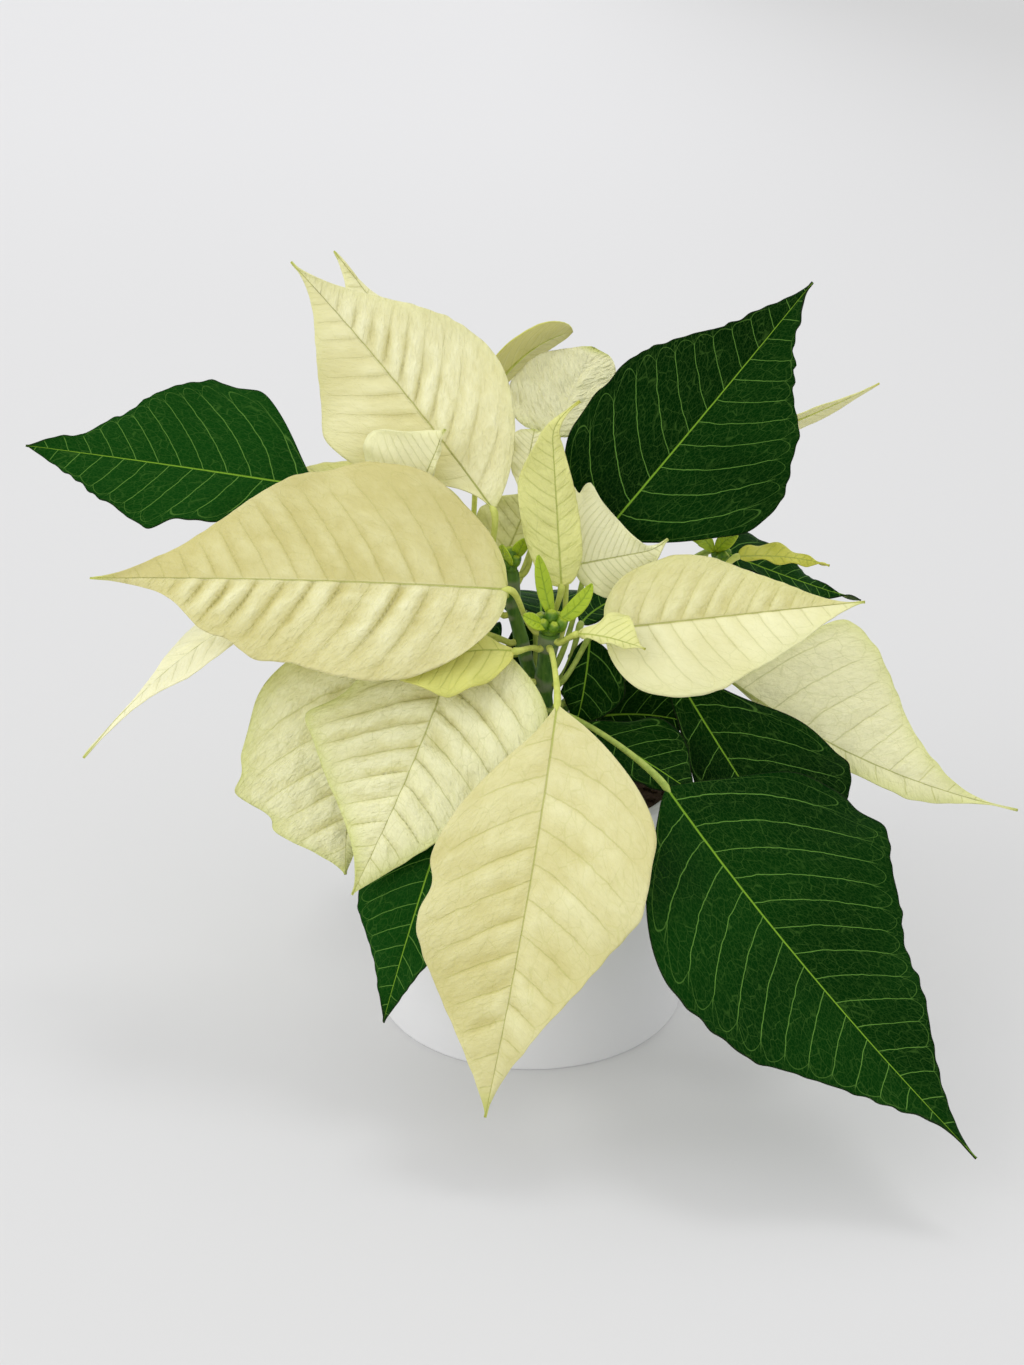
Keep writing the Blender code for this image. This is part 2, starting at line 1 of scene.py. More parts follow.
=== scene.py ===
"""Potted white poinsettia: the finished look, built round its solids.

Bracts and leaves are made again with fine meshes from the same sizes as the solids, with quilting
between their side veins. The pot, soil, stems and buds follow with finer shapes. Lengths in the
tables are millimetres. +Z is up and the viewer's side is -Y.
"""

import math
from contextlib import contextmanager

import bmesh
import bpy
import numpy as np
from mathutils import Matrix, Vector, noise
from mathutils.geometry import interpolate_bezier


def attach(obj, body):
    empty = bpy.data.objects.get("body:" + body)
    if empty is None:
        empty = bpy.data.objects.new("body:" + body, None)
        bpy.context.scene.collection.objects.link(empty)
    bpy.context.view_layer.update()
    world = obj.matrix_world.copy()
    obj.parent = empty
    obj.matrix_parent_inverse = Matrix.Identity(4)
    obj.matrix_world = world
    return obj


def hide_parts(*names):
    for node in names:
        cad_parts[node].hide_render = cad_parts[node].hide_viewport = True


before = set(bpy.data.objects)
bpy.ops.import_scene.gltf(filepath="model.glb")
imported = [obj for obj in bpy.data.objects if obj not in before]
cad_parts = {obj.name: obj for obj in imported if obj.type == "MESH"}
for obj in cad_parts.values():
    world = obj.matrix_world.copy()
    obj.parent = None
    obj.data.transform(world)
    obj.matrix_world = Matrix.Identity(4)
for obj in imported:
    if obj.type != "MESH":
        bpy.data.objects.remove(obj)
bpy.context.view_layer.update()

MM = 0.001

# Pot and soil. A lump is (size, layer of the noise, height). Creases are degrees.
POT_RADIUS = 55.0
POT_HEIGHT = 90.0
POT_WALL = 4.0
POT_FLOOR = 6.0
POT_EDGE = 1.5
POT_RIM = 0.46 * POT_WALL
POT_STEPS = 192
POT_CREASE = 35.0
SOIL_GAP = 0.3
SOIL_RADIUS = POT_RADIUS - POT_WALL - SOIL_GAP
SOIL_EDGE_HEIGHT = 80.0
SOIL_CENTRE_HEIGHT = 84.0
SOIL_STEPS = 96
SOIL_CREASE = 50.0
SOIL_LUMPS = ((9.0, 1.7, 0.9), (3.2, 4.1, 0.7))
CRUMBS = 260
CRUMB_SEED = 11
CRUMB_REACH = POT_RADIUS - POT_WALL - 3.0
CRUMB_SIZES = (0.6, 1.9)

# Stems, thicker where stalks leave them, with a dry ring, the scar, just below
STEMS = {
    "main": dict(radius=3.2, points=((3, 3, 66), (3, 2, 92), (4, 0, 116), (6, -4, 141))),
    "left": dict(radius=2.4, points=((3, 1, 110), (-2, 5, 128), (-6, 9, 144), (-7, 10, 158))),
    "right": dict(radius=2.2, points=((4, 2, 104), (28, 14, 122), (52, 24, 144), (64, 29, 154))),
}
STEM_STEP = 2.0
STEM_EASING = 3
JOINT_SWELL = 0.10
JOINT_SPREAD = 1.8
SCAR_DROP = 1.2
SCAR_SPREAD = 0.7

# Blades: grid, rise to the margin, ripples and frills
BLADE_THICKNESS = 0.45
ROW_LENGTH = 0.95
COLUMN_WIDTH = 1.0
LEAST_ROWS = 24
LEAST_COLUMNS = 12
LEAST_HALF_WIDTH = 0.35
LOBE_SPREAD = 0.06
HOOK_START = 0.78
FOLD = math.radians(6.0)
WAVES = 3
SAG = 0.08
FRILL = 0.5
FRILL_LENGTH = 9.0
FRILL_DEPTH = 3.0

# Side veins: lean at the base, place where it is full, and crowding towards the tip
LEAN_AT_BASE = 0.6
LEAN_FULL = 0.5
CROWDING = 0.15

# Relief between side veins. A noise is (rate from vein to vein, length, what its seed adds), and the
# numbers for the left and right halves keep their noises apart.
RELIEF_NOISES = ((0.7, 18.0, 0), (2.0, 9.0, 3), (3.2, 4.0, 4), (1.6, 3.0, 5))
RELIEF_HALVES = (5.0, 0.0)
MARGIN_HALVES = (9.0, 2.0)
SEED_SHIFT = (13.7, 5.1, 2.3)
FOLD_SKEW = 0.62
FAR_FOLD = 0.15
MARGIN_SEED = 20
FRILL_SEED = 7

# Greener places of a blade
TIP_GREEN_START = 0.93
EDGE_GREEN_DEPTH = 4.0
BASE_GREEN_LENGTH = 3.0

# Stalks, and the rib that each sends on under its midrib
STALK_RADIUS = 1.1
STALK_GAP = 0.5
STALK_PULL = 0.3
STALK_END_PULL = 0.18
STALK_RISE = 0.7
STALK_POINTS = 24
RIB_START = 0.02
RIB_END = 0.9
RIB_POINTS = 40
RIB_RADIUS = 0.62
RIB_LEAST_RADIUS = 0.18

# A bract or leaf is given by its root, where its stalk leaves a stem (the stem, the height and the
# direction in degrees, 0 to the right and 90 to the back), by the start, middle and tip of its midrib,
# and by the way its upper face looks. Each half of the blade, left and right as seen on the upper face
# with the tip up, has a reach, the place of the widest point along the midrib, and two powers, for the
# round of the base and for the taper to the tip. A hook is how far the tip is bent aside, a lobe is
# (place, extra reach) and the wave is the height of the ripples at the margin.
# The rest shows on its surface: the number of side veins on a half, their lean and curve to the tip,
# the swell between them, how much it is creased, and the depth of the bays of its margin, in mm. Then
# how busy the relief of each half is, how far out the folds go, how strongly the midrib and the side
# veins show, how green its face and its margin are, and how pale it is, with what the right half has
# more. How pale a blade is stands partly for its own tone and partly for painted light: blades lit
# through from behind are made paler and blades in shade darker. What the right half has more is
# painted light, or painted shade where it is below 0, for the way light falls on that half. Kinds and
# leaves name only what they change.
USUAL = dict(
    hook=(0, 0, 0), left_lobes=(), right_lobes=(), wave=1.2, veins=11, lean=0.5, curve=0.2, swell=1.0,
    pucker=0.5, tooth=0.3, left_busy=1.0, right_busy=1.0, fold_reach=0.6, ribbed=1.0, veined=0.35, green=0.0,
    edge_green=0.15, pale=0.6, right_pale=0.0,
)
KINDS = {
    "cream": {},
    "young": dict(veins=10, lean=0.6, curve=0.25, swell=0.5, pucker=0.3, green=0.65, edge_green=0.1),
    "bud": dict(
        left=(2.9, 0.5, 0.6, 0.6), right=(2.9, 0.5, 0.6, 0.6), wave=0.0, veins=6, lean=0.6, swell=0.15,
        pucker=0.1, tooth=0.1, green=0.5, edge_green=0.0, pale=0.5,
    ),
    "dark": dict(
        lean=0.55, curve=0.35, swell=0.35, pucker=0.2, tooth=0.6, green=1.0, edge_green=0.0, pale=0.5,
    ),
}


def grown(kind, **facts):
    """What is known of a bract, leaf or leaflet: the usual, what its kind changes and its own."""
    return {**USUAL, "kind": kind, **KINDS[kind], **facts}


LEAVES = {
    "bract_left": grown(
        "cream", root=("main", 140, 165), midrib=((-8, -12, 159), (-76, -14, 163), (-147, -6, 161)),
        face=(0, -0.76, 0.65), left=(34.1, 0.33, 0.51, 1.97), right=(43.2, 0.37, 0.48, 1.81),
        left_lobes=((0.6, 5), (0.72, 5.5)), right_lobes=((0.2, 1.6), (0.45, -1.7)), veins=15, swell=1.9,
        pucker=0.9, right_busy=0.5, fold_reach=0.75, edge_green=0.0, pale=0.3, right_pale=-0.25,
    ),
    "bract_back_left": grown(
        "cream", root=("left", 155, 190), midrib=((-13, 12, 179), (-46, 38, 216), (-83, 58, 254)),
        face=(-0.3, -0.8, 0.5), left=(30.5, 0.45, 1.9, 1.9), right=(32.5, 0.38, 0.73, 1.6),
        left_lobes=((0.53, 2.5),), veins=13, lean=0.7, swell=2.2, pucker=0.9, left_busy=0.35, veined=0.15,
        fold_reach=0.45, pale=0.5, right_pale=0.15,
    ),
    "bract_behind_left": grown(
        "cream", root=("left", 143, 165), midrib=((-22, 54, 197), (-46, 68, 225), (-70, 80, 254)),
        face=(0.2, -0.7, 0.7), left=(18, 0.5, 0.6, 1.8), right=(12, 0.4, 0.6, 2.8), pale=0.8,
    ),
    "bract_small_folded": grown(
        "cream", root=("left", 150, 215), midrib=((-41, 14, 180), (-35, 16, 192), (-29, 12, 207)),
        face=(0, -0.8, 0.6), left=(24, 0.5, 0.3, 1.6), right=(3, 0.3, 0.7, 1.5), veins=10, swell=0.5,
        pucker=0.3, green=0.05, pale=1.1,
    ),
    "bract_edge_behind_left": grown(
        "young", root=("left", 147, 160), midrib=((-18, 16, 167), (-46, 30, 180), (-87, 26, 183)),
        face=(0, -0.6, 0.8), left=(12, 0.5, 0.6, 1.2), right=(11, 0.65, 0.7, 0.7), green=0.3,
    ),
    "bract_front": grown(
        "cream", root=("main", 137, 275), midrib=((8, -36, 128), (-2, -89, 85), (-15, -115, 24)),
        face=(-0.1, -0.7, 0.7), left=(36.9, 0.35, 1.05, 1.66), right=(34.5, 0.51, 1.16, 1.34),
        left_lobes=((0.5, 2.5),), right_lobes=((0.5, -4),), veins=12, swell=0.9, veined=0.55, fold_reach=0.9,
        green=0.02, edge_green=0.0, pale=0.3, right_pale=-0.1,
    ),
    "bract_right": grown(
        "cream", root=("main", 138.5, 350), midrib=((24, -10, 144), (64, -13, 150), (109, -18, 157)),
        face=(0, -0.75, 0.65), left=(23.5, 0.32, 0.4, 1.8), right=(27, 0.31, 0.41, 1.25), veins=12, swell=1.6,
        pucker=0.6, right_busy=0.4, green=0.05, pale=0.3, right_pale=0.45,
    ),
    "bract_small_right": grown(
        "young", root=("main", 139, 315), midrib=((15, -14, 144), (25, -20, 145), (37, -25, 143)),
        face=(0, -0.7, 0.7), left=(10, 0.6, 1.3, 2.0), right=(2.2, 0.6, 0.6, 1.0), veins=9, swell=0.3,
        pucker=0.2, tooth=0.15, green=0.4, pale=1.05,
    ),
    "bract_upright": grown(
        "young", root=("main", 139, 85), midrib=((10, 2, 155), (8, 10, 186), (6, 18, 215)),
        face=(0, -0.95, 0.3), left=(12.9, 0.51, 0.38, 2.0), right=(7.9, 0.21, 0.41, 1.2), hook=(10, 0, 0),
        veins=13, swell=0.8, pucker=0.8, tooth=0.2, green=0.5, pale=1.0,
    ),
    "bract_back_middle": grown(
        "cream", root=("left", 153, 60), midrib=((9, 36, 198), (14, 50, 209), (22, 64, 223)),
        face=(0, -0.75, 0.65), left=(21.5, 0.45, 0.25, 0.68), right=(12, 0.78, 0.5, 0.35), veins=4, lean=0.9,
        swell=0.6, pucker=1.9, ribbed=0.0, veined=0.05, green=0.05, edge_green=0.0, pale=1.3,
    ),
    "bract_shaded": grown(
        "cream", root=("left", 156, 20), midrib=((-3, 17, 184), (-1, 22, 194), (1, 27, 203)),
        face=(0, -0.9, 0.4), left=(7.5, 0.75, 0.7, 0.35), right=(7, 0.7, 0.7, 0.35), pale=1.1,
    ),
    "bract_behind_buds": grown(
        "cream", root=("left", 147, 110), midrib=((-9, 19, 160), (-4, 26, 170), (0, 31, 179)),
        face=(0, -0.85, 0.5), left=(15, 0.4, 0.6, 0.8), right=(5, 0.5, 0.6, 0.8), veins=7, green=0.2,
        edge_green=0.4, pale=0.8,
    ),
    "bract_olive_behind": grown(
        "young", root=("left", 143, 85), midrib=((-17, 60, 204), (-2, 66, 220), (15, 72, 227)),
        face=(0, 0.6, 0.8), left=(11, 0.75, 0.8, 0.5), right=(16, 0.6, 0.5, 0.7), wave=0.0, green=0.7,
    ),
    "bract_inner_right": grown(
        "cream", root=("main", 136, 45), midrib=((14, 7, 161), (29, 10, 163), (46, 8, 167)),
        face=(0, -0.97, 0.2), left=(28, 0.15, 0.3, 2.3), right=(14.7, 0.49, 0.58, 1.5),
        left_lobes=((0.2, -4), (0.36, 3)), hook=(0, 0, 3), veins=14, curve=0.5, swell=0.4, pucker=0.15,
        veined=0.4, tooth=0.15, green=0.05, pale=1.15,
    ),
    "bract_far_right": grown(
        "young", root=("right", 150, 50), midrib=((76, 58, 191), (99, 64, 198), (126, 72, 208)),
        face=(0, 0.6, 0.8), left=(14, 0.5, 0.6, 1.2), right=(6, 0.3, 0.7, 2.0), wave=0.0, veins=9, green=0.35,
    ),
    "bract_small_far_right": grown(
        "young", root=("right", 148, 330), midrib=((72, 25, 158), (89, 27, 157), (104, 24, 155)),
        face=(0, -0.5, 0.85), left=(5.7, 0.35, 0.4, 2.2), right=(2.8, 0.5, 0.4, 1.3), green=1.0,
    ),
    "bract_drooping_right": grown(
        "cream", root=("right", 134, 300), midrib=((68, 6, 120), (115.5, -4, 93.5), (168, -14, 79)),
        face=(-0.2, -0.8, 0.55), left=(41.2, 0.24, 1.25, 2.7), right=(6.8, 0.65, 1.3, 2.7), veins=10,
        swell=1.4, pucker=0.7, veined=0.6, tooth=0.6, green=0.04, edge_green=0.5, pale=1.2,
    ),
    "bract_front_left": grown(
        "cream", root=("main", 122, 200), midrib=((-23, -3, 144), (-37, -37, 113), (-58, -67, 75)),
        face=(-0.15, -0.75, 0.6), left=(38.5, 0.34, 0.96, 1.17), right=(36.5, 0.5, 1.3, 1.75),
        left_lobes=((0.63, 2),), right_lobes=((0.52, 4), (0.38, -2)), swell=2.6, pucker=1.0, veined=0.7,
        fold_reach=0.7, green=0.09, edge_green=0.6, pale=0.95, right_pale=-0.1,
    ),
    "bract_under_left": grown(
        "young", root=("main", 136, 225), midrib=((-6, -19, 140), (-27, -24, 141), (-50, -29, 136)),
        face=(0, -0.6, 0.8), left=(15.7, 0.58, 0.56, 1.4), right=(7, 0.5, 0.6, 1.4), veins=9, swell=0.8,
        pucker=0.2, tooth=0.15, green=0.7,
    ),
    "bract_lower_left": grown(
        "cream", root=("main", 113, 205), midrib=((-54, -6, 137), (-60, -28, 104), (-62, -44, 70)),
        face=(-0.1, -0.7, 0.7), left=(12, 0.45, 0.8, 1.2), right=(38, 0.5, 0.3, 1.2),
        right_lobes=((0.68, 7), (0.83, 6.5)), veins=7, swell=2.4, pucker=1.3, veined=0.6, tooth=0.6,
        green=0.1, edge_green=0.5, pale=0.95,
    ),
    "bract_far_left": grown(
        "cream", root=("left", 134, 200), midrib=((-82, 4, 150), (-116, -10, 135), (-148, -34, 108)),
        face=(-0.5, -0.1, 0.85), left=(21.5, 0.46, 1.3, 2.8), right=(22.5, 0.3, 0.7, 4.2), wave=0.4,
        swell=0.7, edge_green=0.0, pale=1.25,
    ),
    "leaf_back_right": grown(
        "dark", root=("main", 125, 50), midrib=((23, 19, 166), (60, 30, 209), (95, 42, 250)),
        face=(0.1, -0.85, 0.5), left=(35.4, 0.33, 0.46, 1.45), right=(38.2, 0.39, 0.92, 2.16),
        left_lobes=((0.28, -1.4), (0.38, -2.4), (0.56, -1.2), (0.65, -1.3), (0.74, -2.7)),
        right_lobes=((0.3, 2), (0.4, 2), (0.5, 1), (0.62, 3.6), (0.75, 1.6), (0.88, 2.2)), veins=12,
        lean=0.62, curve=0.4, tooth=1.2, pale=0.05, right_pale=0.25,
    ),
    "leaf_left": grown(
        "dark", root=("left", 130, 170), midrib=((-71, 20, 184), (-120, 26, 190), (-173, 28, 197)),
        face=(0, -0.7, 0.7), left=(20.9, 0.49, 0.76, 1.1), right=(36.5, 0.36, 1.47, 1.25),
        left_lobes=((0.3, -1.6), (0.48, -1), (0.56, 3.6), (0.64, 2.5), (0.74, 1.9)),
        right_lobes=((0.24, -0.6), (0.36, -3.1), (0.72, -3.1), (0.84, -3.8)), veins=13, tooth=0.8, pale=1.0,
    ),
    "leaf_front_right": grown(
        "dark", root=("main", 112, 290), midrib=((43, -50, 105), (83, -95, 66), (131, -137, 25)),
        face=(0.1, -0.6, 0.8), left=(47.6, 0.27, 0.84, 1.42), right=(40.6, 0.41, 0.92, 2.1),
        left_lobes=((0.12, 5), (0.24, 2), (0.36, 6), (0.48, 1.5), (0.6, -1), (0.72, 1.2)),
        right_lobes=((0.1, -1.4), (0.45, -1.7), (0.6, 3), (0.72, 1.4), (0.82, 1.1)), veins=15, lean=0.52,
        tooth=0.8, pale=0.3, right_pale=0.15,
    ),
    "leaf_front_left": grown(
        "dark", root=("main", 106, 235), midrib=((-25, -40, 99), (-37, -66, 71), (-49, -68, 28)),
        face=(-0.3, -0.8, 0.5), left=(17, 0.3, 0.7, 1.2), right=(21.5, 0.46, 0.7, 1.45), pale=1.1,
    ),
    "leaf_far_right": grown(
        "dark", root=("right", 143, 150), midrib=((67, 38, 156), (93, 36, 146), (117, 30, 140)),
        face=(0, -0.3, 0.95), left=(17, 0.2, 0.7, 3.0), right=(7.3, 0.57, 0.4, 2.5),
    ),
    "leaf_centre": grown(
        "dark", root=("main", 122, 330), midrib=((20, 3, 136), (18, -3, 120), (15, -5, 106)),
        face=(0, -0.7, 0.7), left=(14.3, 0.47, 0.67, 1.3), right=(7.5, 0.45, 0.5, 1.2), veins=5, pale=0.2,
    ),
    "leaf_under_right": grown(
        "dark", root=("main", 102, 315), midrib=((16, -14, 112), (35, -33, 108), (55, -46, 99)),
        face=(0, -0.5, 0.85), left=(17.7, 0.53, 1.3, 1.6), right=(10, 0.5, 1.2, 1.4), veins=7, pale=0.2,
    ),
    "leaf_shaded_right": grown(
        "dark", root=("main", 94, 12), midrib=((22, 9, 104), (41, 11, 104), (60, 13, 99)),
        face=(0, -0.9, 0.4), left=(17, 0.5, 0.6, 0.9), right=(7, 0.5, 0.7, 1.0), veins=7, pale=0.1,
    ),
    "leaf_low_right": grown(
        "dark", root=("main", 112, 350), midrib=((47, 0, 128), (69, -26, 98), (92, -52, 70)),
        face=(0, -0.6, 0.8), left=(35, 0.66, 1.2, 1.3), right=(15, 0.6, 0.9, 1.3), veins=9, pale=0.15,
    ),
    "leaf_centre_left": grown(
        "dark", root=("left", 122, 75), midrib=((1, 12, 139), (1, 11, 125), (1, 10, 111)),
        face=(0, -0.9, 0.3), left=(4, 0.4, 0.8, 0.8), right=(9.5, 0.35, 0.45, 1.0), veins=5, pale=0.2,
    ),
    "leaf_back_centre": grown(
        "dark", root=("main", 121, 20), midrib=((17, 9, 139), (29, 30, 140), (49, 46, 140)),
        face=(0, -0.7, 0.7), left=(8, 0.5, 0.7, 1.2), right=(6, 0.4, 0.7, 1.2),
    ),
    "leaf_back_left_low": grown(
        "dark", root=("main", 100, 125), midrib=((-18, 36, 116), (-40, 70, 106), (-64, 98, 66)),
        face=(-0.4, 0.5, 0.8), left=(25, 0.4, 0.7, 1.5), right=(25, 0.4, 0.7, 1.5),
    ),
    "leaf_back_right_low": grown(
        "dark", root=("main", 97, 60), midrib=((20, 28, 107), (42, 56, 99), (66, 92, 62)),
        face=(0.3, 0.1, 0.95), left=(24, 0.4, 0.7, 1.5), right=(24, 0.4, 0.7, 1.5),
    ),
    "leaf_back_low": grown(
        "dark", root=("main", 105, 95), midrib=((4, 48, 128), (2, 82, 124), (-4, 116, 94)),
        face=(0, 0.4, 0.9), left=(26, 0.4, 0.7, 1.6), right=(26, 0.4, 0.7, 1.6),
    ),
}

# Buds: each cluster is a ring of buds round one in the middle, on the end of a stem
CLUSTERS = {
    "buds_main": dict(stem="main", buds=6, ring=3.4, radius=2.4),
    "buds_left": dict(stem="left", buds=4, ring=2.6, radius=2.4),
    "shoot_right": dict(stem="right", buds=3, ring=2.4, radius=2.2),
}
CLUSTER_SEED = 40
BUD_STRETCH = 1.35
BUD_LEAN = 0.35
MIDDLE_BUD_RISE = 0.8
BUD_LOBES = 5
BUD_LOBE_DEPTH = 0.10
BUD_CUP_DEPTH = 0.28
BUD_CUP_SPREAD = 0.07
BUD_ROUGHNESS = 0.04

# Leaflets that stand among the buds, in the same terms as the leaves
LEAFLETS = {
    "buds_main": (
        grown("bud", midrib=((7, -3, 145), (4, -3, 157), (2, -3, 168)), face=(0.4, -0.9, 0.2)),
        grown("bud", midrib=((8, -5, 145), (15, -6, 151), (20, -6, 159)), face=(0, -0.9, 0.4)),
        grown("bud", midrib=((5, -6, 144), (1, -10, 147), (-3, -12, 150)), face=(0, -0.7, 0.7)),
    ),
    "buds_left": (
        grown("bud", midrib=((-7, 9, 161), (-9, 4, 165), (-10, 2, 170)), face=(-0.5, -0.8, 0.3)),
        grown("bud", midrib=((-6, 11, 161), (-4, 10, 166), (-2, 9, 170)), face=(0.5, -0.8, 0.3)),
    ),
    "shoot_right": (
        grown("bud", midrib=((65, 30, 158), (68, 28, 163), (72, 28, 165)), face=(0, -0.8, 0.5)),
        grown("bud", midrib=((64, 30, 158), (60, 29, 163), (56, 29, 163)), face=(0, -0.8, 0.5)),
    ),
}

# Veins and shallow relief in the materials
MIDRIB_WIDTH = 0.42
BRACT_BUMP = 0.0004
DARK_BUMP = 0.0003

# Camera, light and floor, in metres and degrees
CAMERA_PLACE = (-0.0067, -0.6021, 0.3703)
CAMERA_TILT = 67.5
CAMERA_LENS = 50.0
CAMERA_SENSOR = 36.0
WORLD_LIGHT = 0.90
WORLD_COLOUR = (0.99, 0.99, 1.0, 1.0)
LIGHTS = {
    "skylight": dict(source=(0.2, 0.25, 1.0), power=0.4, spread=16.0),
    "side_window": dict(source=(-0.9, -0.45, 0.65), power=0.65, spread=45.0),
}
FLOOR_REACH = 14.0
# The floor's glow is painted light that lifts the shadows on it
FLOOR_GLOW = 0.12


class Wire:
    """An output socket of a material. Arithmetic on it adds Math nodes."""

    def __init__(self, paint, socket):
        self.paint = paint
        self.socket = socket

    def math(self, operation, *others):
        return self.paint.node("Math", {"operation": operation}, dict(enumerate((self, *others))))

    def __add__(self, other):
        return self.math("ADD", other)

    def __mul__(self, other):
        return self.math("MULTIPLY", other)

    def __sub__(self, other):
        return self.math("SUBTRACT", other)

    def __rsub__(self, other):
        return self.paint.node("Math", {"operation": "SUBTRACT"}, {0: other, 1: self})

    def __truediv__(self, other):
        return self.math("DIVIDE", other)

    __radd__ = __add__


class Paint:
    """A material under construction round its Principled shader."""

    def __init__(self, name, **values):
        self.material = bpy.data.materials.new(name)
        self.material.use_nodes = True
        self.tree = self.material.node_tree
        self.shader = self.tree.nodes["Principled BSDF"]
        for socket, value in values.items():
            self.shader.inputs[socket.replace("_", " ")].default_value = value

    def node(self, kind, settings=None, inputs=None, output=0):
        made = self.tree.nodes.new("ShaderNode" + kind)
        for name, value in (settings or {}).items():
            setattr(made, name, value)
        for key, value in (inputs or {}).items():
            self.feed(made.inputs[key], value)
        return Wire(self, made.outputs[output])

    def feed(self, socket, value):
        if isinstance(value, Wire):
            self.tree.links.new(value.socket, socket)
        elif socket.type == "RGBA":
            socket.default_value = (*value, 1.0)
        else:
            socket.default_value = value

    def shade(self, **inputs):
        for name, value in inputs.items():
            self.feed(self.shader.inputs[name.replace("_", " ")], value)
        return self.material

    def attribute(self, name):
        return self.node("Attribute", {"attribute_name": name}, output="Fac")

    def place(self):
        return self.node("TexCoord", output="Object")

    def mix(self, factor, first, second):
        return self.node("Mix", {"data_type": "RGBA"}, {0: factor, 6: first, 7: second}, 2)

    def fade(self, value, start, end, low=0.0, high=1.0):
        inputs = {"Value": value, 1: start, 2: end, 3: low, 4: high}
        return self.node("MapRange", {"interpolation_type": "SMOOTHSTEP"}, inputs)

    def noise(self, scale, detail=3.0, roughness=0.5, vector=None, output=0):
        vector = vector or self.place()
        inputs = {"Vector": vector, "Scale": scale, "Detail": detail, "Roughness": roughness}
        return self.node("TexNoise", None, inputs, output)

    def cells(self, vector, scale, feature):
        return self.node("TexVoronoi", {"feature": feature}, {"Vector": vector, "Scale": scale})

    def bump(self, height, distance, strength):
        return self.node("Bump", None, {"Height": height, "Distance": distance, "Strength": strength})


def select_only(*items):
    """Select the items and make the first one active."""
    for item in bpy.context.selected_objects:
        item.select_set(False)
    for item in items:
        item.select_set(True)
    bpy.context.view_layer.objects.active = items[0]


def active_piece(name):
    """The active object, named."""
    item = bpy.context.active_object
    item.name = name
    item.data.name = name
    return item


def join_pieces(name, pieces):
    select_only(*pieces)
    bpy.ops.object.join()
    return active_piece(name)


def store(item, name, values):
    """Keep one number for each vertex, for the material to read."""
    item.data.attributes.new(name, "FLOAT", "POINT").data.foreach_set("value", values)


def settle(piece, node):
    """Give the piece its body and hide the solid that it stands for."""
    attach(piece, "root")
    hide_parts(node)


def vein_masks(paint, side_width, net_size):
    """Masks of a blade's veins, from the numbers stored on it.

    "across" is the signed distance from the midrib in mm, "rim" runs from 0 at the midrib to 1 at the
    margin, "along" from base to tip, "lateral" counts side veins and "pitch" is their spacing in mm.
    """
    across, rim, along, pitch, lateral = map(paint.attribute, ("across", "rim", "along", "pitch", "lateral"))
    distance = across.math("ABSOLUTE")
    wander = (paint.noise(180.0, 2.0) - 0.5) * 0.16
    side = across.math("GREATER_THAN", 0.0)
    phase = (lateral + side * 0.5 + wander).math("FRACT")
    off_middle = (phase - 0.5).math("ABSOLUTE")
    off_vein = (0.5 - off_middle) * pitch
    midrib = paint.fade(distance / ((1.35 - along) * MIDRIB_WIDTH), 0.35, 1.0, 1.0, 0.0)
    sides = paint.fade(off_vein, side_width * 0.3, side_width, 1.0, 0.0)
    sides = sides * paint.fade(rim, 0.72, 0.93, 1.0, 0.0)
    off_loop = (rim - (0.93 - off_middle * off_middle * 0.55)).math("ABSOLUTE") * distance
    loops = paint.fade(off_loop, side_width * 0.2, side_width * 0.9, 0.45, 0.0)
    loops = loops * paint.fade(distance, 5.0, 9.0)
    spread = paint.node("CombineXYZ", None, {0: lateral * pitch * 0.65, 1: across, 2: 0.0})
    warp = paint.noise(260.0, 1.0, output="Color")
    warp = paint.node("VectorMath", {"operation": "SCALE"}, {0: warp, "Scale": 0.4})
    warped = paint.node("VectorMath", {"operation": "ADD"}, {0: spread, 1: warp})
    coarse, fine = (paint.cells(warped, scale / net_size, "DISTANCE_TO_EDGE") for scale in (1.0, 2.8))
    net = paint.fade(coarse, 0.0, 0.05, 1.0, 0.0) * paint.fade(paint.noise(120.0, 1.0), 0.35, 0.6, 0.3, 1.0)
    flow = paint.node("CombineXYZ", None, {0: lateral * pitch * 0.6, 1: across * 0.32, 2: side * 9.0})
    return {
        "midrib": midrib,
        "sides": sides.math("MAXIMUM", loops),
        "net": net,
        "mesh": paint.fade(fine, 0.0, 0.12, 1.0, 0.0),
        "crinkle": paint.noise(1.0, 3.0, 0.55, flow),
    }


# Paleness with random clouds. The stored pale number is partly the blade's own tone and partly painted light
# and shade, of whole blades and of their right halves.
def clouded_pale_and_painted_light(paint, cloud):
    return paint.attribute("pale") + cloud * 0.3 - 0.15


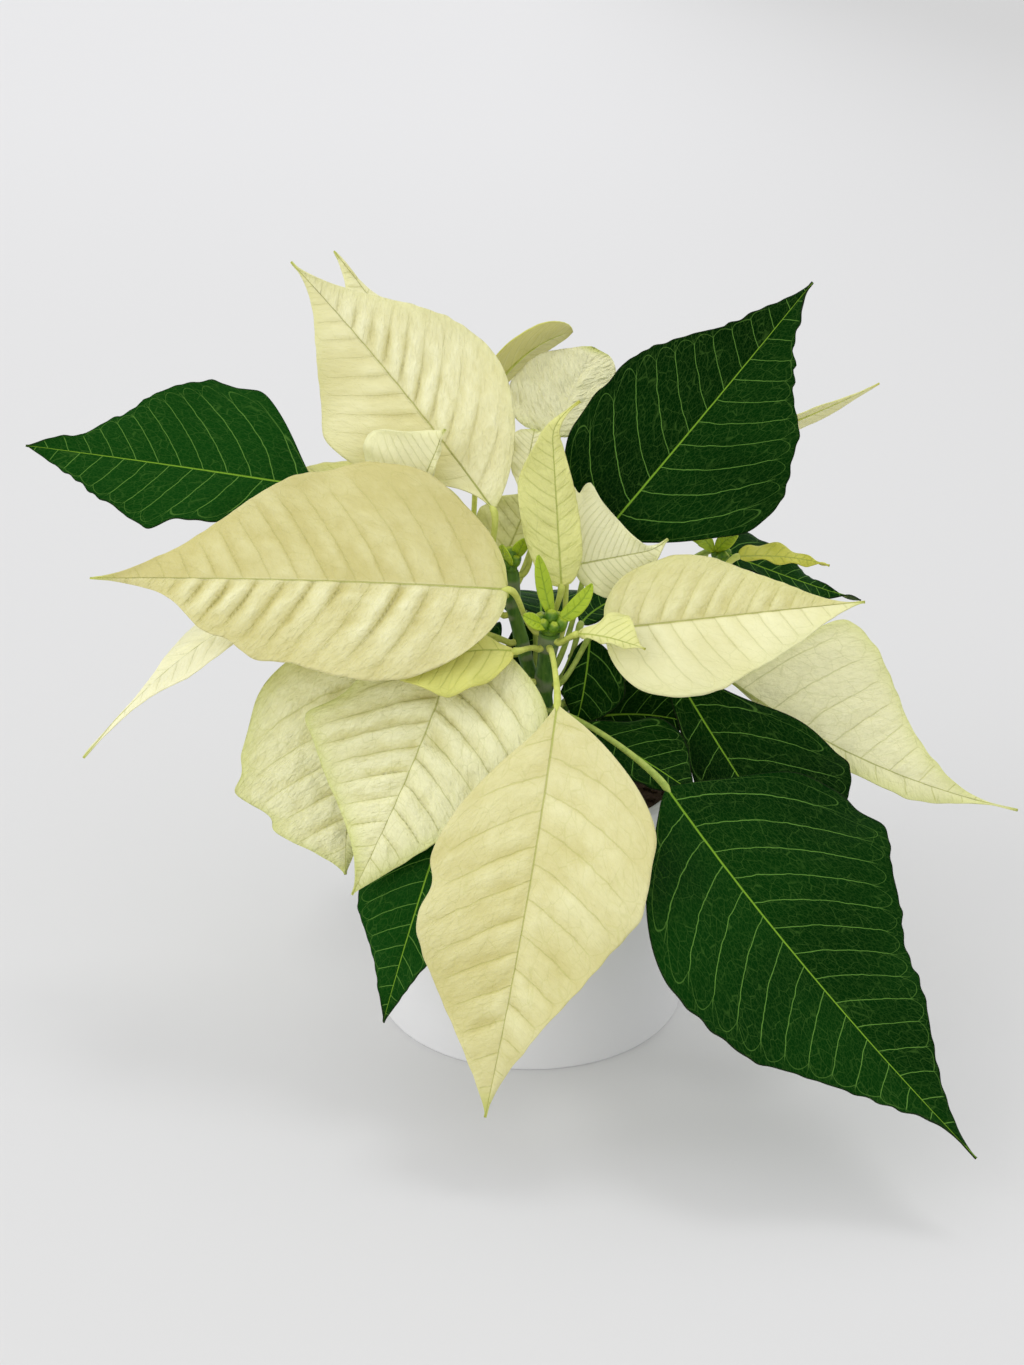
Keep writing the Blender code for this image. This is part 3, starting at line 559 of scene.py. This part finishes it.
def bract_material(name, ground, pale, green, vein, under=False):
    """Thin coloured leaf: yellowish or pale ground, olive veins, greener where the blade says so.

    Its folds carry painted light: ridges are paler and the valleys between them darker.
    """
    paint = Paint(
        name, Roughness=0.45, Specular_IOR_Level=0.4, Subsurface_Weight=0.25, Subsurface_Scale=0.002,
        Subsurface_Radius=(1.0, 0.95, 0.75),
    )
    veins = vein_masks(paint, 0.38, 4.2)
    tint = paint.attribute("green")
    pucker = paint.attribute("pucker")
    cloud = paint.fade(paint.noise(38.0, 4.0), 0.3, 0.7)
    # Painted light on the folds: ridges paler and the valleys between them darker, from the relief's height
    # and its crinkles. It adds to the paleness, which carries painted light too.
    painted_fold_light = paint.attribute("raised") * 0.36 + (veins["crinkle"] - 0.5) * pucker * 0.5
    colour = paint.mix(clouded_pale_and_painted_light(paint, cloud) + painted_fold_light, ground, pale)
    colour = paint.mix(tint, colour, green)
    lines = (veins["sides"] * 0.6).math("MAXIMUM", veins["net"] * 0.32)
    lines = lines.math("MAXIMUM", veins["mesh"] * 0.1)
    colour = paint.mix(lines * (paint.attribute("veined") + tint * 0.4), colour, vein)
    rib_colour = paint.mix(paint.fade(paint.attribute("along"), 0.02, 0.2), (0.36, 0.44, 0.02), vein)
    rib = veins["midrib"] * paint.attribute("ribbed")
    colour = paint.mix(rib * (0.45 if under else 0.7), colour, rib_colour)
    height = veins["sides"] * -0.35 + veins["net"] * -0.15 + rib * -0.4
    height = height + paint.noise(900.0, 2.0) * 0.15 + veins["crinkle"] * pucker * 4.0
    normal = paint.bump(height, -BRACT_BUMP if under else BRACT_BUMP, 0.8)
    return paint.shade(Base_Color=colour, Normal=normal)


def dark_leaf_material(name, ground, deep, vein, midrib, rim_colour, under=False):
    """Deep green blade with thin pale veins and a dark line along its margin."""
    paint = Paint(name, Specular_IOR_Level=0.025)
    veins = vein_masks(paint, 0.25, 2.7)
    cloud = paint.fade(paint.noise(24.0, 4.0), 0.3, 0.7)
    # Painted light and shade: deep places to ground by the paleness, lighter on leaves and halves in light,
    # darker on those in shade, with random clouds of tone.
    colour = paint.mix(clouded_pale_and_painted_light(paint, cloud), deep, ground)
    shown = {"mesh": (0.07, vein), "net": (0.15, vein), "sides": (0.8, vein), "midrib": (0.95, midrib)}
    for mask, (strength, mask_colour) in shown.items():
        colour = paint.mix(veins[mask] * strength, colour, mask_colour)
    colour = paint.mix(paint.fade(paint.attribute("margin"), 0.15, 0.5, 0.45, 0.0), colour, rim_colour)
    height = veins["sides"] * -0.7 + veins["net"] * -0.4 + veins["midrib"] * -0.6
    height = height + paint.noise(1100.0, 2.0) * 0.2
    normal = paint.bump(height, -DARK_BUMP if under else DARK_BUMP, 0.7)
    return paint.shade(Base_Color=colour, Roughness=0.42 + cloud * 0.12, Normal=normal)


def stalk_material(name, pale, green):
    paint = Paint(name, Specular_IOR_Level=0.35)
    streaks = paint.noise(420.0, 4.0, 0.6)
    colour = paint.mix(paint.fade(streaks, 0.3, 0.75, 0.0, 0.6), pale, green)
    ripple = paint.bump(streaks, 0.0001, 0.3)
    return paint.shade(Base_Color=colour, Roughness=0.42 + streaks * 0.15, Normal=ripple)


def stem_material():
    """Green stem with fine lengthwise streaks, pale dots and dry grey rings at its joints."""
    paint = Paint("green stem", Specular_IOR_Level=0.2)
    place = paint.place()
    stretched = paint.node("Mapping", None, {"Vector": place, "Scale": (1.0, 1.0, 0.16)})
    streaks = paint.noise(650.0, 5.0, 0.6, stretched)
    patches = paint.fade(paint.noise(60.0, 3.0), 0.4, 0.65)
    colour = paint.mix(paint.fade(streaks, 0.3, 0.7), (0.035, 0.11, 0.012), (0.10, 0.22, 0.03))
    colour = paint.mix(patches * 0.5, colour, (0.16, 0.28, 0.05))
    dots = paint.cells(place, 420.0, "F1")
    colour = paint.mix(paint.fade(dots, 0.0, 0.22, 0.3, 0.0), colour, (0.24, 0.32, 0.08))
    dry = paint.fade(paint.attribute("scar"), 0.2, 0.8)
    colour = paint.mix(dry * 0.7, colour, (0.24, 0.26, 0.17))
    ripple = paint.bump(streaks * 0.6 + dry * 0.5, 0.0004, 0.5)
    return paint.shade(Base_Color=colour, Roughness=0.45 + dry * 0.3, Normal=ripple)


def bud_material():
    paint = Paint("green buds", Specular_IOR_Level=0.4)
    speckle = paint.noise(500.0, 4.0)
    colour = paint.mix(paint.fade(speckle, 0.35, 0.65), (0.05, 0.15, 0.005), (0.15, 0.28, 0.01))
    top = paint.fade(paint.attribute("scar"), 0.3, 0.9)
    colour = paint.mix(top * 0.85, colour, (0.42, 0.52, 0.03))
    grain = paint.bump(speckle, 0.0003, 0.5)
    return paint.shade(Base_Color=colour, Roughness=0.38 + speckle * 0.1, Normal=grain)


def pot_material():
    """White glaze: nearly even, with faint clouds and a fine ripple."""
    paint = Paint("white glaze", Specular_IOR_Level=0.5, Coat_Roughness=0.12, Coat_Weight=0.25)
    cloud = paint.fade(paint.noise(14.0, 4.0), 0.3, 0.7)
    colour = paint.mix(cloud, (0.83, 0.83, 0.83), (0.80, 0.80, 0.805))
    fine = paint.noise(220.0, 3.0)
    ripple = paint.bump(fine, 0.0002, 0.25)
    return paint.shade(Base_Color=colour, Roughness=0.30 + fine * 0.12, Normal=ripple)


def soil_material():
    paint = Paint("potting soil", Specular_IOR_Level=0.2, Roughness=0.95)
    grain = paint.noise(520.0, 8.0, 0.7)
    lumps = paint.noise(90.0, 4.0)
    colour = paint.mix(paint.fade(lumps, 0.35, 0.65), (0.018, 0.011, 0.007), (0.060, 0.036, 0.021))
    colour = paint.mix(paint.fade(grain, 0.55, 0.72) * 0.5, colour, (0.13, 0.085, 0.05))
    return paint.shade(Base_Color=colour, Normal=paint.bump(grain + lumps, 0.0015, 1.0))


def floor_material():
    """Matt white, a little brighter far behind the plant and on its left, and faintly glowing.

    The brightening, the darkening to the right and the glow are all painted light. The glow lifts the
    shadows on the floor.
    """
    paint = Paint(
        "pale studio floor", Roughness=0.9, Specular_IOR_Level=0.1, Emission_Strength=FLOOR_GLOW,
        Emission_Color=(1.0, 1.0, 1.0, 1.0),
    )
    aside, behind = (paint.node("SeparateXYZ", None, {0: paint.place()}, axis) for axis in "XY")
    # Painted light: brighter far behind the plant, darker towards its right
    colour = paint.mix(paint.fade(behind, 0.1, 3.0), (0.585, 0.585, 0.585), (0.615, 0.615, 0.62))
    colour = paint.mix(paint.fade(aside, -0.1, 1.6) * 0.8, colour, (0.43, 0.43, 0.425))
    return paint.shade(Base_Color=colour)


# Colours of a bract: ground, pale places, green places, veins. Colours of a dark leaf: ground, deep
# places, veins, midrib, margin.
CREAM = bract_material(
    "cream bract", (0.61, 0.55, 0.22), (0.95, 0.92, 0.55), (0.50, 0.57, 0.09), (0.42, 0.44, 0.08),
)
CREAM_UNDER = bract_material(
    "cream bract underside", (0.68, 0.62, 0.30), (0.94, 0.92, 0.66), (0.62, 0.66, 0.22), (0.60, 0.61, 0.22),
    under=True,
)
YOUNG = bract_material(
    "young bract", (0.74, 0.72, 0.30), (0.94, 0.94, 0.50), (0.56, 0.56, 0.06), (0.36, 0.42, 0.05),
)
YOUNG_UNDER = bract_material(
    "young bract underside", (0.78, 0.76, 0.40), (0.90, 0.88, 0.50), (0.60, 0.56, 0.14), (0.46, 0.46, 0.12),
    under=True,
)
DARK = dark_leaf_material(
    "dark leaf", (0.0035, 0.046, 0.0025), (0.0, 0.014, 0.0), (0.14, 0.31, 0.05), (0.20, 0.38, 0.03),
    (0.02, 0.008, 0.012),
)
DARK_UNDER = dark_leaf_material(
    "dark leaf underside", (0.07, 0.14, 0.045), (0.05, 0.11, 0.035), (0.16, 0.26, 0.09), (0.24, 0.34, 0.11),
    (0.04, 0.03, 0.02), under=True,
)
PALE_STALK = stalk_material("pale stalk", (0.64, 0.68, 0.16), (0.40, 0.48, 0.045))
GREEN_STALK = stalk_material("green stalk", (0.42, 0.52, 0.10), (0.18, 0.30, 0.04))
LIME = bract_material(
    "bud leaflet", (0.34, 0.48, 0.015), (0.52, 0.66, 0.04), (0.36, 0.50, 0.015), (0.22, 0.36, 0.015),
)

# Upper side, underside and stalk of each kind
SURFACES = {
    "bud": (LIME, LIME, PALE_STALK),
    "cream": (CREAM, CREAM_UNDER, PALE_STALK),
    "young": (YOUNG, YOUNG_UNDER, PALE_STALK),
    "dark": (DARK, DARK_UNDER, GREEN_STALK),
}


def stem_exit(stem_name, height, degrees):
    """Point just off a stem's skin at a height, and the way out from the stem's axis there."""
    stem = STEMS[stem_name]
    points = [Vector(point) for point in stem["points"]]
    for low, high in zip(points, points[1:]):
        if height <= high.z:
            break
    axis = (high - low).normalized()
    centre = low.lerp(high, (height - low.z) / (high.z - low.z))
    angle = math.radians(degrees)
    out = Vector((math.cos(angle), math.sin(angle), 0.0))
    out = (out - out.project(axis)).normalized()
    return centre + out * stem["radius"], out


def midrib_points(leaf, place):
    """Points of the midrib, 0 at the blade's base and 1 at its tip, one row for each place."""
    start, middle, tip = np.array(leaf["midrib"], float)
    bend = middle * 2 - (start + tip) / 2
    share = place[:, None]
    hook = np.array(leaf["hook"]) * (np.maximum(share - HOOK_START, 0.0) / (1 - HOOK_START)) ** 2
    return start * (1 - share) ** 2 + bend * 2 * share * (1 - share) + tip * share ** 2 + hook


def blade_length(leaf):
    return math.dist(leaf["midrib"][0], leaf["midrib"][2])


def unit(rows):
    return rows / np.linalg.norm(rows, axis=1)[:, None]


def midrib_frames(leaf, place, step=0.01):
    """Rows of directions at places of the midrib: along it, to the left and off the face."""
    ahead = midrib_points(leaf, np.minimum(place + step, 1.0))
    along = unit(ahead - midrib_points(leaf, np.maximum(place - step, 0.0)))
    left = unit(np.cross(np.array(leaf["face"], float), along))
    return along, left, np.cross(along, left)


def half_width(leaf, place, side):
    """Reach of one half of the blade at places along the midrib."""
    reach, widest, base_power, tip_power = leaf[side]
    rise = np.sin(np.pi / 2 * np.clip(place / widest, 0, 1)) ** base_power
    fall = np.cos(np.pi / 2 * np.clip((place - widest) / (1 - widest), 0, 1)).clip(0, 1) ** tip_power
    width = reach * np.where(place < widest, rise, fall)
    for lobe_place, extra in leaf[side + "_lobes"]:
        width = width + extra * np.exp(-(((place - lobe_place) / LOBE_SPREAD) ** 2))
    return np.maximum(width, LEAST_HALF_WIDTH)


def noise_field(seed, *axes):
    """Smooth noise from -1 to 1 at points given axis by axis."""
    shift = Vector(seed * part for part in SEED_SHIFT)
    return np.array([noise.noise(Vector(point) + shift) for point in np.stack(axes, 1)])


def vein_count(leaf, place, across_mm, length):
    """How many side veins lie between the blade's base and a point, as a number with a fraction."""
    reach = max(leaf["left"][0], leaf["right"][0])
    ease = np.clip(place / LEAN_FULL, 0, 1)
    lean = leaf["lean"] * (LEAN_AT_BASE + (1 - LEAN_AT_BASE) * ease * ease * (3 - 2 * ease))
    foot = place - (lean * across_mm + leaf["curve"] * across_mm ** 2 / reach) / length
    return leaf["veins"] * foot * (1 - CROWDING + CROWDING * foot)


def scallops(leaf, place, across, width, edge_phase, seed):
    """Small bays and teeth of the margin in mm, with a tooth where a side vein ends."""
    half = np.where(across > 0, *MARGIN_HALVES)
    bays = noise_field(seed + MARGIN_SEED, edge_phase * 0.8, half, half)
    teeth = np.cos(2 * np.pi * edge_phase) * (0.5 + bays)
    cover = np.clip((width - 1.0) / 6.0, 0, 1) * np.clip(place / 0.06, 0, 1)
    return leaf["tooth"] * cover * (1.1 * bays + 0.6 * teeth)


def relief(leaf, place, across, reach, width, phase, seed):
    """Height in mm of the folds between side veins, steepest by the midrib, with finer wrinkles."""
    half = np.where(across > 0, *RELIEF_HALVES)
    broad, creases, wrinkles, crosswise = (
        noise_field(seed + extra, phase * rate, reach / size, half)
        for rate, size, extra in RELIEF_NOISES
    )
    share = np.abs(across)
    fold = np.sin(np.pi * (phase - np.floor(phase)) ** FOLD_SKEW)
    near = FAR_FOLD + (1 - FAR_FOLD) * np.exp(-(share / leaf["fold_reach"]) ** 2)
    fade = (1 - np.exp(-reach / 1.4)) * (1 - 0.7 * share ** 4)
    fade = fade * np.sin(np.pi * np.clip(place, 0.02, 0.98)) ** 0.4 * np.clip(width / 12.0, 0.15, 1.0)
    quilt = leaf["swell"] * (fold - 0.55) * (1.0 + 1.3 * broad) * near
    folds = 1.1 * creases * near + 0.5 * wrinkles + 0.5 * crosswise * fold
    busy = np.where(across > 0, leaf["left_busy"], leaf["right_busy"])
    return fade * busy * (quilt + leaf["pucker"] * folds)


def blade_shape(leaf, place, across, seed):
    """Points of the blade's middle surface in mm, and what the material reads at each of them."""
    _, left, off = midrib_frames(leaf, place)
    width = np.where(across > 0, half_width(leaf, place, "left"), half_width(leaf, place, "right"))
    length = blade_length(leaf)
    half_turn = np.where(across > 0, 0.5, 0.0)
    edge_phase = vein_count(leaf, place, width, length) + half_turn
    width = width + scallops(leaf, place, across, width, edge_phase, seed)
    share = np.abs(across)
    reach = width * share
    margin = (1 - share) * width
    length_mm = place * length
    count = vein_count(leaf, place, reach, length)
    raised = relief(leaf, place, across, reach, width, count + half_turn, seed)
    ripple = leaf["wave"] * np.sin(2 * np.pi * WAVES * place) * across * share
    frill_noise = noise_field(seed + FRILL_SEED, length_mm / FRILL_LENGTH, across, place * 0)
    lift = reach * math.sin(FOLD) - SAG * reach * share + ripple + raised
    lift = lift + FRILL * np.exp(-margin / FRILL_DEPTH) * frill_noise
    aside = np.sign(across) * reach * math.cos(FOLD)
    points = midrib_points(leaf, place) + left * aside[:, None] + off * lift[:, None]
    tip_green = 0.9 * np.clip((place - TIP_GREEN_START) / (1 - TIP_GREEN_START), 0, 1)
    edge_green = leaf["edge_green"] * np.exp(-margin / EDGE_GREEN_DEPTH)
    base_green = 0.5 * np.exp(-length_mm / BASE_GREEN_LENGTH)
    most_green = np.maximum(np.maximum(tip_green, edge_green), base_green)
    facts = {
        "across": across * width,
        "rim": share,
        "along": place,
        "lateral": count,
        "pitch": length / leaf["veins"],
        "margin": margin,
        "green": leaf["green"] + (1 - leaf["green"]) * most_green,
        # Partly own tone, partly painted light; the right half adds its painted light or shade
        "pale": leaf["pale"] + np.where(across < 0, leaf["right_pale"], 0.0),
        "ribbed": leaf["ribbed"],
        "veined": leaf["veined"],
        "pucker": leaf["pucker"] * np.where(across > 0, leaf["left_busy"], leaf["right_busy"]),
        "raised": raised,
    }
    return points, facts


def blade(name, leaf, seed):
    """Thin closed blade from a grid, shaped row by row."""
    breadth = leaf["left"][0] + leaf["right"][0]
    rows = max(LEAST_ROWS, round(blade_length(leaf) / ROW_LENGTH))
    columns = max(LEAST_COLUMNS, 2 * round(breadth / COLUMN_WIDTH / 2))
    bpy.ops.mesh.primitive_grid_add(x_subdivisions=columns, y_subdivisions=rows, size=2)
    item = active_piece(name)
    mesh = item.data
    flat = np.zeros(len(mesh.vertices) * 3)
    mesh.vertices.foreach_get("co", flat)
    x, y, _ = flat.reshape(-1, 3).T
    points, facts = blade_shape(leaf, (y + 1) / 2, np.clip(-x, -1, 1), seed)
    mesh.vertices.foreach_set("co", (points * MM).ravel())
    for fact, values in facts.items():
        store(item, fact, np.broadcast_to(values, len(points)).astype(np.float32))
    for material in SURFACES[leaf["kind"]]:
        mesh.materials.append(material)
    solidify = item.modifiers.new("thickness", "SOLIDIFY")
    solidify.thickness = BLADE_THICKNESS * MM
    solidify.offset = 0.0
    solidify.material_offset = 1
    solidify.material_offset_rim = 0
    select_only(item)
    bpy.ops.object.modifier_apply(modifier=solidify.name)
    item.data.shade_smooth()
    return item


def stalk_line(leaf):
    """Smooth line from the stem's skin to the blade's base, and its way on under the midrib."""
    root, out = stem_exit(*leaf["root"])
    start = Vector(leaf["midrib"][0])
    along = Vector(midrib_frames(leaf, np.array([0.0]))[0][0])
    reach = (start - root).length
    neck = root + out * (STALK_GAP + STALK_RADIUS)
    rise = (out + Vector((0, 0, STALK_RISE))).normalized()
    leave = neck + rise * reach * STALK_PULL
    arrive = start - along * reach * STALK_END_PULL
    line = interpolate_bezier(neck, leave, arrive, start, STALK_POINTS)
    places = np.linspace(RIB_START, RIB_END, RIB_POINTS)
    off = midrib_frames(leaf, places)[2]
    sink = 0.15 + 0.45 * (1 - places / RIB_END)
    rib = midrib_points(leaf, places) - off * sink[:, None]
    return [root - out * 0.8, root + out * 0.2] + line, [Vector(point) for point in rib]


def rod(name, points, radii, material, roundness):
    """Round bar along a line of points in mm, made from a bevelled curve."""
    curve = bpy.data.curves.new(name, "CURVE")
    curve.dimensions = "3D"
    curve.bevel_depth = MM
    curve.bevel_resolution = roundness
    curve.use_fill_caps = True
    line = curve.splines.new("POLY")
    line.points.add(len(points) - 1)
    for knot, place, radius in zip(line.points, points, radii):
        knot.co = (*(Vector(place) * MM), 1.0)
        knot.radius = radius
    item = bpy.data.objects.new(name, curve)
    bpy.context.scene.collection.objects.link(item)
    select_only(item)
    bpy.ops.object.convert(target="MESH")
    item = active_piece(name)
    item.data.shade_smooth()
    item.data.materials.append(material)
    return item


def stalk(name, leaf):
    free, rib = stalk_line(leaf)
    radii = []
    for index in range(len(free)):
        share = index / (len(free) - 1)
        radii.append(STALK_RADIUS * (1.15 - 0.3 * math.sin(math.pi * min(share * 1.1, 1.0))))
    radii += [max(RIB_LEAST_RADIUS, RIB_RADIUS * (1 - index / len(rib))) for index in range(len(rib))]
    return rod(name + "_stalk", free + rib, radii, SURFACES[leaf["kind"]][2], 4)


@contextmanager
def editing(item, mode, test):
    """Edit the item with only those edges or faces chosen that pass the test."""
    select_only(item)
    bpy.ops.object.mode_set(mode="EDIT")
    bpy.ops.mesh.select_mode(type=mode)
    bpy.ops.mesh.select_all(action="DESELECT")
    bm = bmesh.from_edit_mesh(item.data)
    for element in bm.edges if mode == "EDGE" else bm.faces:
        if test(element):
            element.select_set(True)
    bm.select_flush_mode()
    bmesh.update_edit_mesh(item.data)
    yield
    bpy.ops.object.mode_set(mode="OBJECT")


def on_ring(radius, height):
    """Test for an edge on a ring of that radius and height in mm."""
    def near(vert):
        return abs(vert.co.xy.length / MM - radius) < 0.1 and abs(vert.co.z / MM - height) < 0.1
    return lambda edge: all(near(vert) for vert in edge.verts)


def make_pot():
    bpy.ops.mesh.primitive_cylinder_add(
        vertices=POT_STEPS, radius=POT_RADIUS * MM, depth=POT_HEIGHT * MM,
        location=(0, 0, POT_HEIGHT * MM / 2),
    )
    pot = active_piece("white_pot")
    bpy.ops.object.transform_apply(location=True)
    with editing(pot, "FACE", lambda face: face.normal.z > 0.9):
        bpy.ops.mesh.inset(thickness=POT_WALL * MM)
        down = (0, 0, -(POT_HEIGHT - POT_FLOOR) * MM)
        bpy.ops.mesh.extrude_region_move(TRANSFORM_OT_translate={"value": down})
    for radius, height, offset, segments in (
        (POT_RADIUS, POT_HEIGHT, POT_RIM, 6),
        (POT_RADIUS - POT_WALL, POT_HEIGHT, POT_RIM, 6),
        (POT_RADIUS, 0.0, POT_EDGE, 4),
    ):
        with editing(pot, "EDGE", on_ring(radius, height)):
            bpy.ops.mesh.bevel(offset=offset * MM, segments=segments, affect="EDGES")
    bpy.ops.object.shade_smooth_by_angle(angle=math.radians(POT_CREASE))
    pot.data.materials.append(pot_material())
    settle(pot, "pot")


def soil_height(x, y):
    """Height of the soil in mm: a low mound with lumps."""
    share = min(math.hypot(x, y) / SOIL_RADIUS, 1.0)
    mound = SOIL_CENTRE_HEIGHT + (SOIL_EDGE_HEIGHT - SOIL_CENTRE_HEIGHT) * share * share
    lumps = sum(noise.noise(Vector((x / size, y / size, layer))) * high for size, layer, high in SOIL_LUMPS)
    return mound + lumps * (1.0 - share ** 6)


def make_soil():
    bpy.ops.mesh.primitive_grid_add(x_subdivisions=SOIL_STEPS, y_subdivisions=SOIL_STEPS, size=2)
    soil = active_piece("potting_soil")
    for vert in soil.data.vertices:
        x, y = vert.co.x, vert.co.y
        round_x = x * math.sqrt(1 - y * y / 2) * SOIL_RADIUS
        round_y = y * math.sqrt(1 - x * x / 2) * SOIL_RADIUS
        vert.co = Vector((round_x, round_y, soil_height(round_x, round_y))) * MM
    with editing(soil, "FACE", lambda face: True):
        bpy.ops.mesh.extrude_region_move(TRANSFORM_OT_translate={"value": (0, 0, -1.0)})
    for vert in soil.data.vertices:
        vert.co.z = max(vert.co.z, (POT_FLOOR + SOIL_GAP) * MM)
    with editing(soil, "FACE", lambda face: True):
        bpy.ops.mesh.normals_make_consistent(inside=False)
    bpy.ops.object.shade_smooth_by_angle(angle=math.radians(SOIL_CREASE))
    soil.data.materials.append(soil_material())
    crumbs = [crumb(index, soil.data.materials[0]) for index in range(CRUMBS)]
    settle(join_pieces("potting_soil", [soil] + crumbs), "soil")


def crumb(index, material):
    """Small irregular lump lying on the soil."""
    draw = np.random.default_rng(index + CRUMB_SEED)
    distance = CRUMB_REACH * math.sqrt(draw.uniform(0.02, 1.0))
    angle = draw.uniform(0, 2 * math.pi)
    size = draw.uniform(*CRUMB_SIZES)
    x, y = distance * math.cos(angle), distance * math.sin(angle)
    centre = Vector((x, y, soil_height(x, y) + size * 0.25))
    bpy.ops.mesh.primitive_ico_sphere_add(subdivisions=1, radius=1)
    item = active_piece("crumb")
    wide, deep, high = draw.uniform(0.6, 1.2, 3)
    for vert in item.data.vertices:
        jitter = 1 + draw.uniform(-0.2, 0.2)
        local = Vector((vert.co.x * wide, vert.co.y * deep, vert.co.z * high * 0.7)) * size * jitter
        vert.co = (centre + local) * MM
    item.data.materials.append(material)
    return item


def even_points(points, step):
    """The line through the points, cut into even steps and with its corners eased."""
    corners = [Vector(point) for point in points]
    line = []
    for low, high in zip(corners, corners[1:]):
        count = max(1, round((high - low).length / step))
        line += [low.lerp(high, index / count) for index in range(count)]
    line.append(corners[-1])
    for _ in range(STEM_EASING):
        inner = [(a + b * 2 + c) / 4 for a, b, c in zip(line, line[1:], line[2:])]
        line = [line[0]] + inner + [line[-1]]
    return line


def bump_at(distance, spread):
    """1 at no distance, falling away within a few spreads."""
    return math.exp(-((distance / spread) ** 2))


def make_stem():
    material = stem_material()
    rods = []
    for name, stem in STEMS.items():
        line = even_points(stem["points"], STEM_STEP)
        joints = sorted({leaf["root"][1] for leaf in LEAVES.values() if leaf["root"][0] == name})
        radii = []
        for point in line:
            swelling = sum(bump_at(point.z - joint, JOINT_SPREAD) for joint in joints)
            radii.append(stem["radius"] * (1 + JOINT_SWELL * min(swelling, 1.5)))
        item = rod("stem_" + name, line, radii, material, 8)
        scars = []
        for vert in item.data.vertices:
            height = vert.co.z / MM + SCAR_DROP
            scars.append(max(bump_at(height - joint, SCAR_SPREAD) for joint in joints))
        store(item, "scar", scars)
        rods.append(item)
    settle(join_pieces("green_stems", rods), "stem")


def bud(place, radius, axis, seed, material):
    """Egg-shaped bud with soft lobes round a small cup at its top."""
    bpy.ops.mesh.primitive_ico_sphere_add(subdivisions=4, radius=1)
    item = active_piece("bud")
    turn = axis.to_track_quat("Z", "Y")
    tops = []
    for vert in item.data.vertices:
        high = vert.co.z
        angle = math.atan2(vert.co.y, vert.co.x) + seed * 1.3
        top = max(0.0, high) ** 2
        lobes = 1 + BUD_LOBE_DEPTH * top * math.cos(BUD_LOBES * angle)
        cup = BUD_CUP_DEPTH * math.exp(-((1 - high) / BUD_CUP_SPREAD)) if high > 0 else 0.0
        rough = 1 + BUD_ROUGHNESS * noise.noise(vert.co * 2.5 + Vector((seed, 0, 0)))
        local = Vector((vert.co.x * lobes, vert.co.y * lobes, (high - cup) * BUD_STRETCH)) * radius * rough
        vert.co = (turn @ local + place) * MM
        tops.append(top)
    store(item, "scar", tops)
    item.data.shade_smooth()
    item.data.materials.append(material)
    return item


def make_cluster(name, cluster, material, seed):
    stem = STEMS[cluster["stem"]]
    before, top = (Vector(point) for point in stem["points"][-2:])
    axis = (top - before).normalized()
    side = axis.orthogonal().normalized()
    radius = cluster["radius"]
    centre = top + axis * (radius * BUD_STRETCH + STALK_GAP)
    pieces = [bud(centre + axis * radius * MIDDLE_BUD_RISE, radius, axis, seed, material)]
    for index in range(cluster["buds"]):
        angle = 2 * math.pi * index / cluster["buds"]
        around = side * math.cos(angle) + axis.cross(side) * math.sin(angle)
        size = radius * (0.85 + 0.15 * math.sin(index * 2.4 + seed))
        lean = (axis + around * BUD_LEAN).normalized()
        pieces.append(bud(centre + around * cluster["ring"], size, lean, seed + index, material))
    pieces.append(rod(name + "_foot", [top - axis, centre], [stem["radius"] * 0.9, radius], material, 4))
    for index, leaflet in enumerate(LEAFLETS[name]):
        pieces.append(blade(name + "_leaflet", leaflet, seed + index))
    settle(join_pieces(name + "_cluster", pieces), name)


def make_stage():
    bpy.ops.mesh.primitive_grid_add(x_subdivisions=8, y_subdivisions=8, size=2 * FLOOR_REACH)
    floor = active_piece("floor")
    floor.data.materials.append(floor_material())
    scene = bpy.context.scene
    world = bpy.data.worlds.new("studio")
    world.use_nodes = True
    background = world.node_tree.nodes["Background"]
    background.inputs["Color"].default_value = WORLD_COLOUR
    background.inputs["Strength"].default_value = WORLD_LIGHT
    scene.world = world
    for name, light in LIGHTS.items():
        lamp = bpy.data.lights.new(name, "SUN")
        lamp.energy = light["power"]
        lamp.angle = math.radians(light["spread"])
        item = bpy.data.objects.new(name, lamp)
        item.location = light["source"]
        item.rotation_euler = (-Vector(light["source"])).to_track_quat("-Z", "Y").to_euler()
        scene.collection.objects.link(item)
    camera = bpy.data.cameras.new("camera")
    camera.lens = CAMERA_LENS
    camera.sensor_width = CAMERA_SENSOR
    item = bpy.data.objects.new("camera", camera)
    item.location = CAMERA_PLACE
    item.rotation_euler = (math.radians(CAMERA_TILT), 0.0, 0.0)
    scene.collection.objects.link(item)
    scene.camera = item
    scene.view_settings.view_transform = "Standard"


make_stage()
make_pot()
make_soil()
make_stem()
for number, (leaf_name, leaf_facts) in enumerate(LEAVES.items(), 1):
    leaf_parts = [blade(leaf_name, leaf_facts, number), stalk(leaf_name, leaf_facts)]
    settle(join_pieces(leaf_name + "_blade", leaf_parts), leaf_name)
bud_green = bud_material()
for number, (cluster_name, cluster_facts) in enumerate(CLUSTERS.items(), CLUSTER_SEED):
    make_cluster(cluster_name, cluster_facts, bud_green, number)
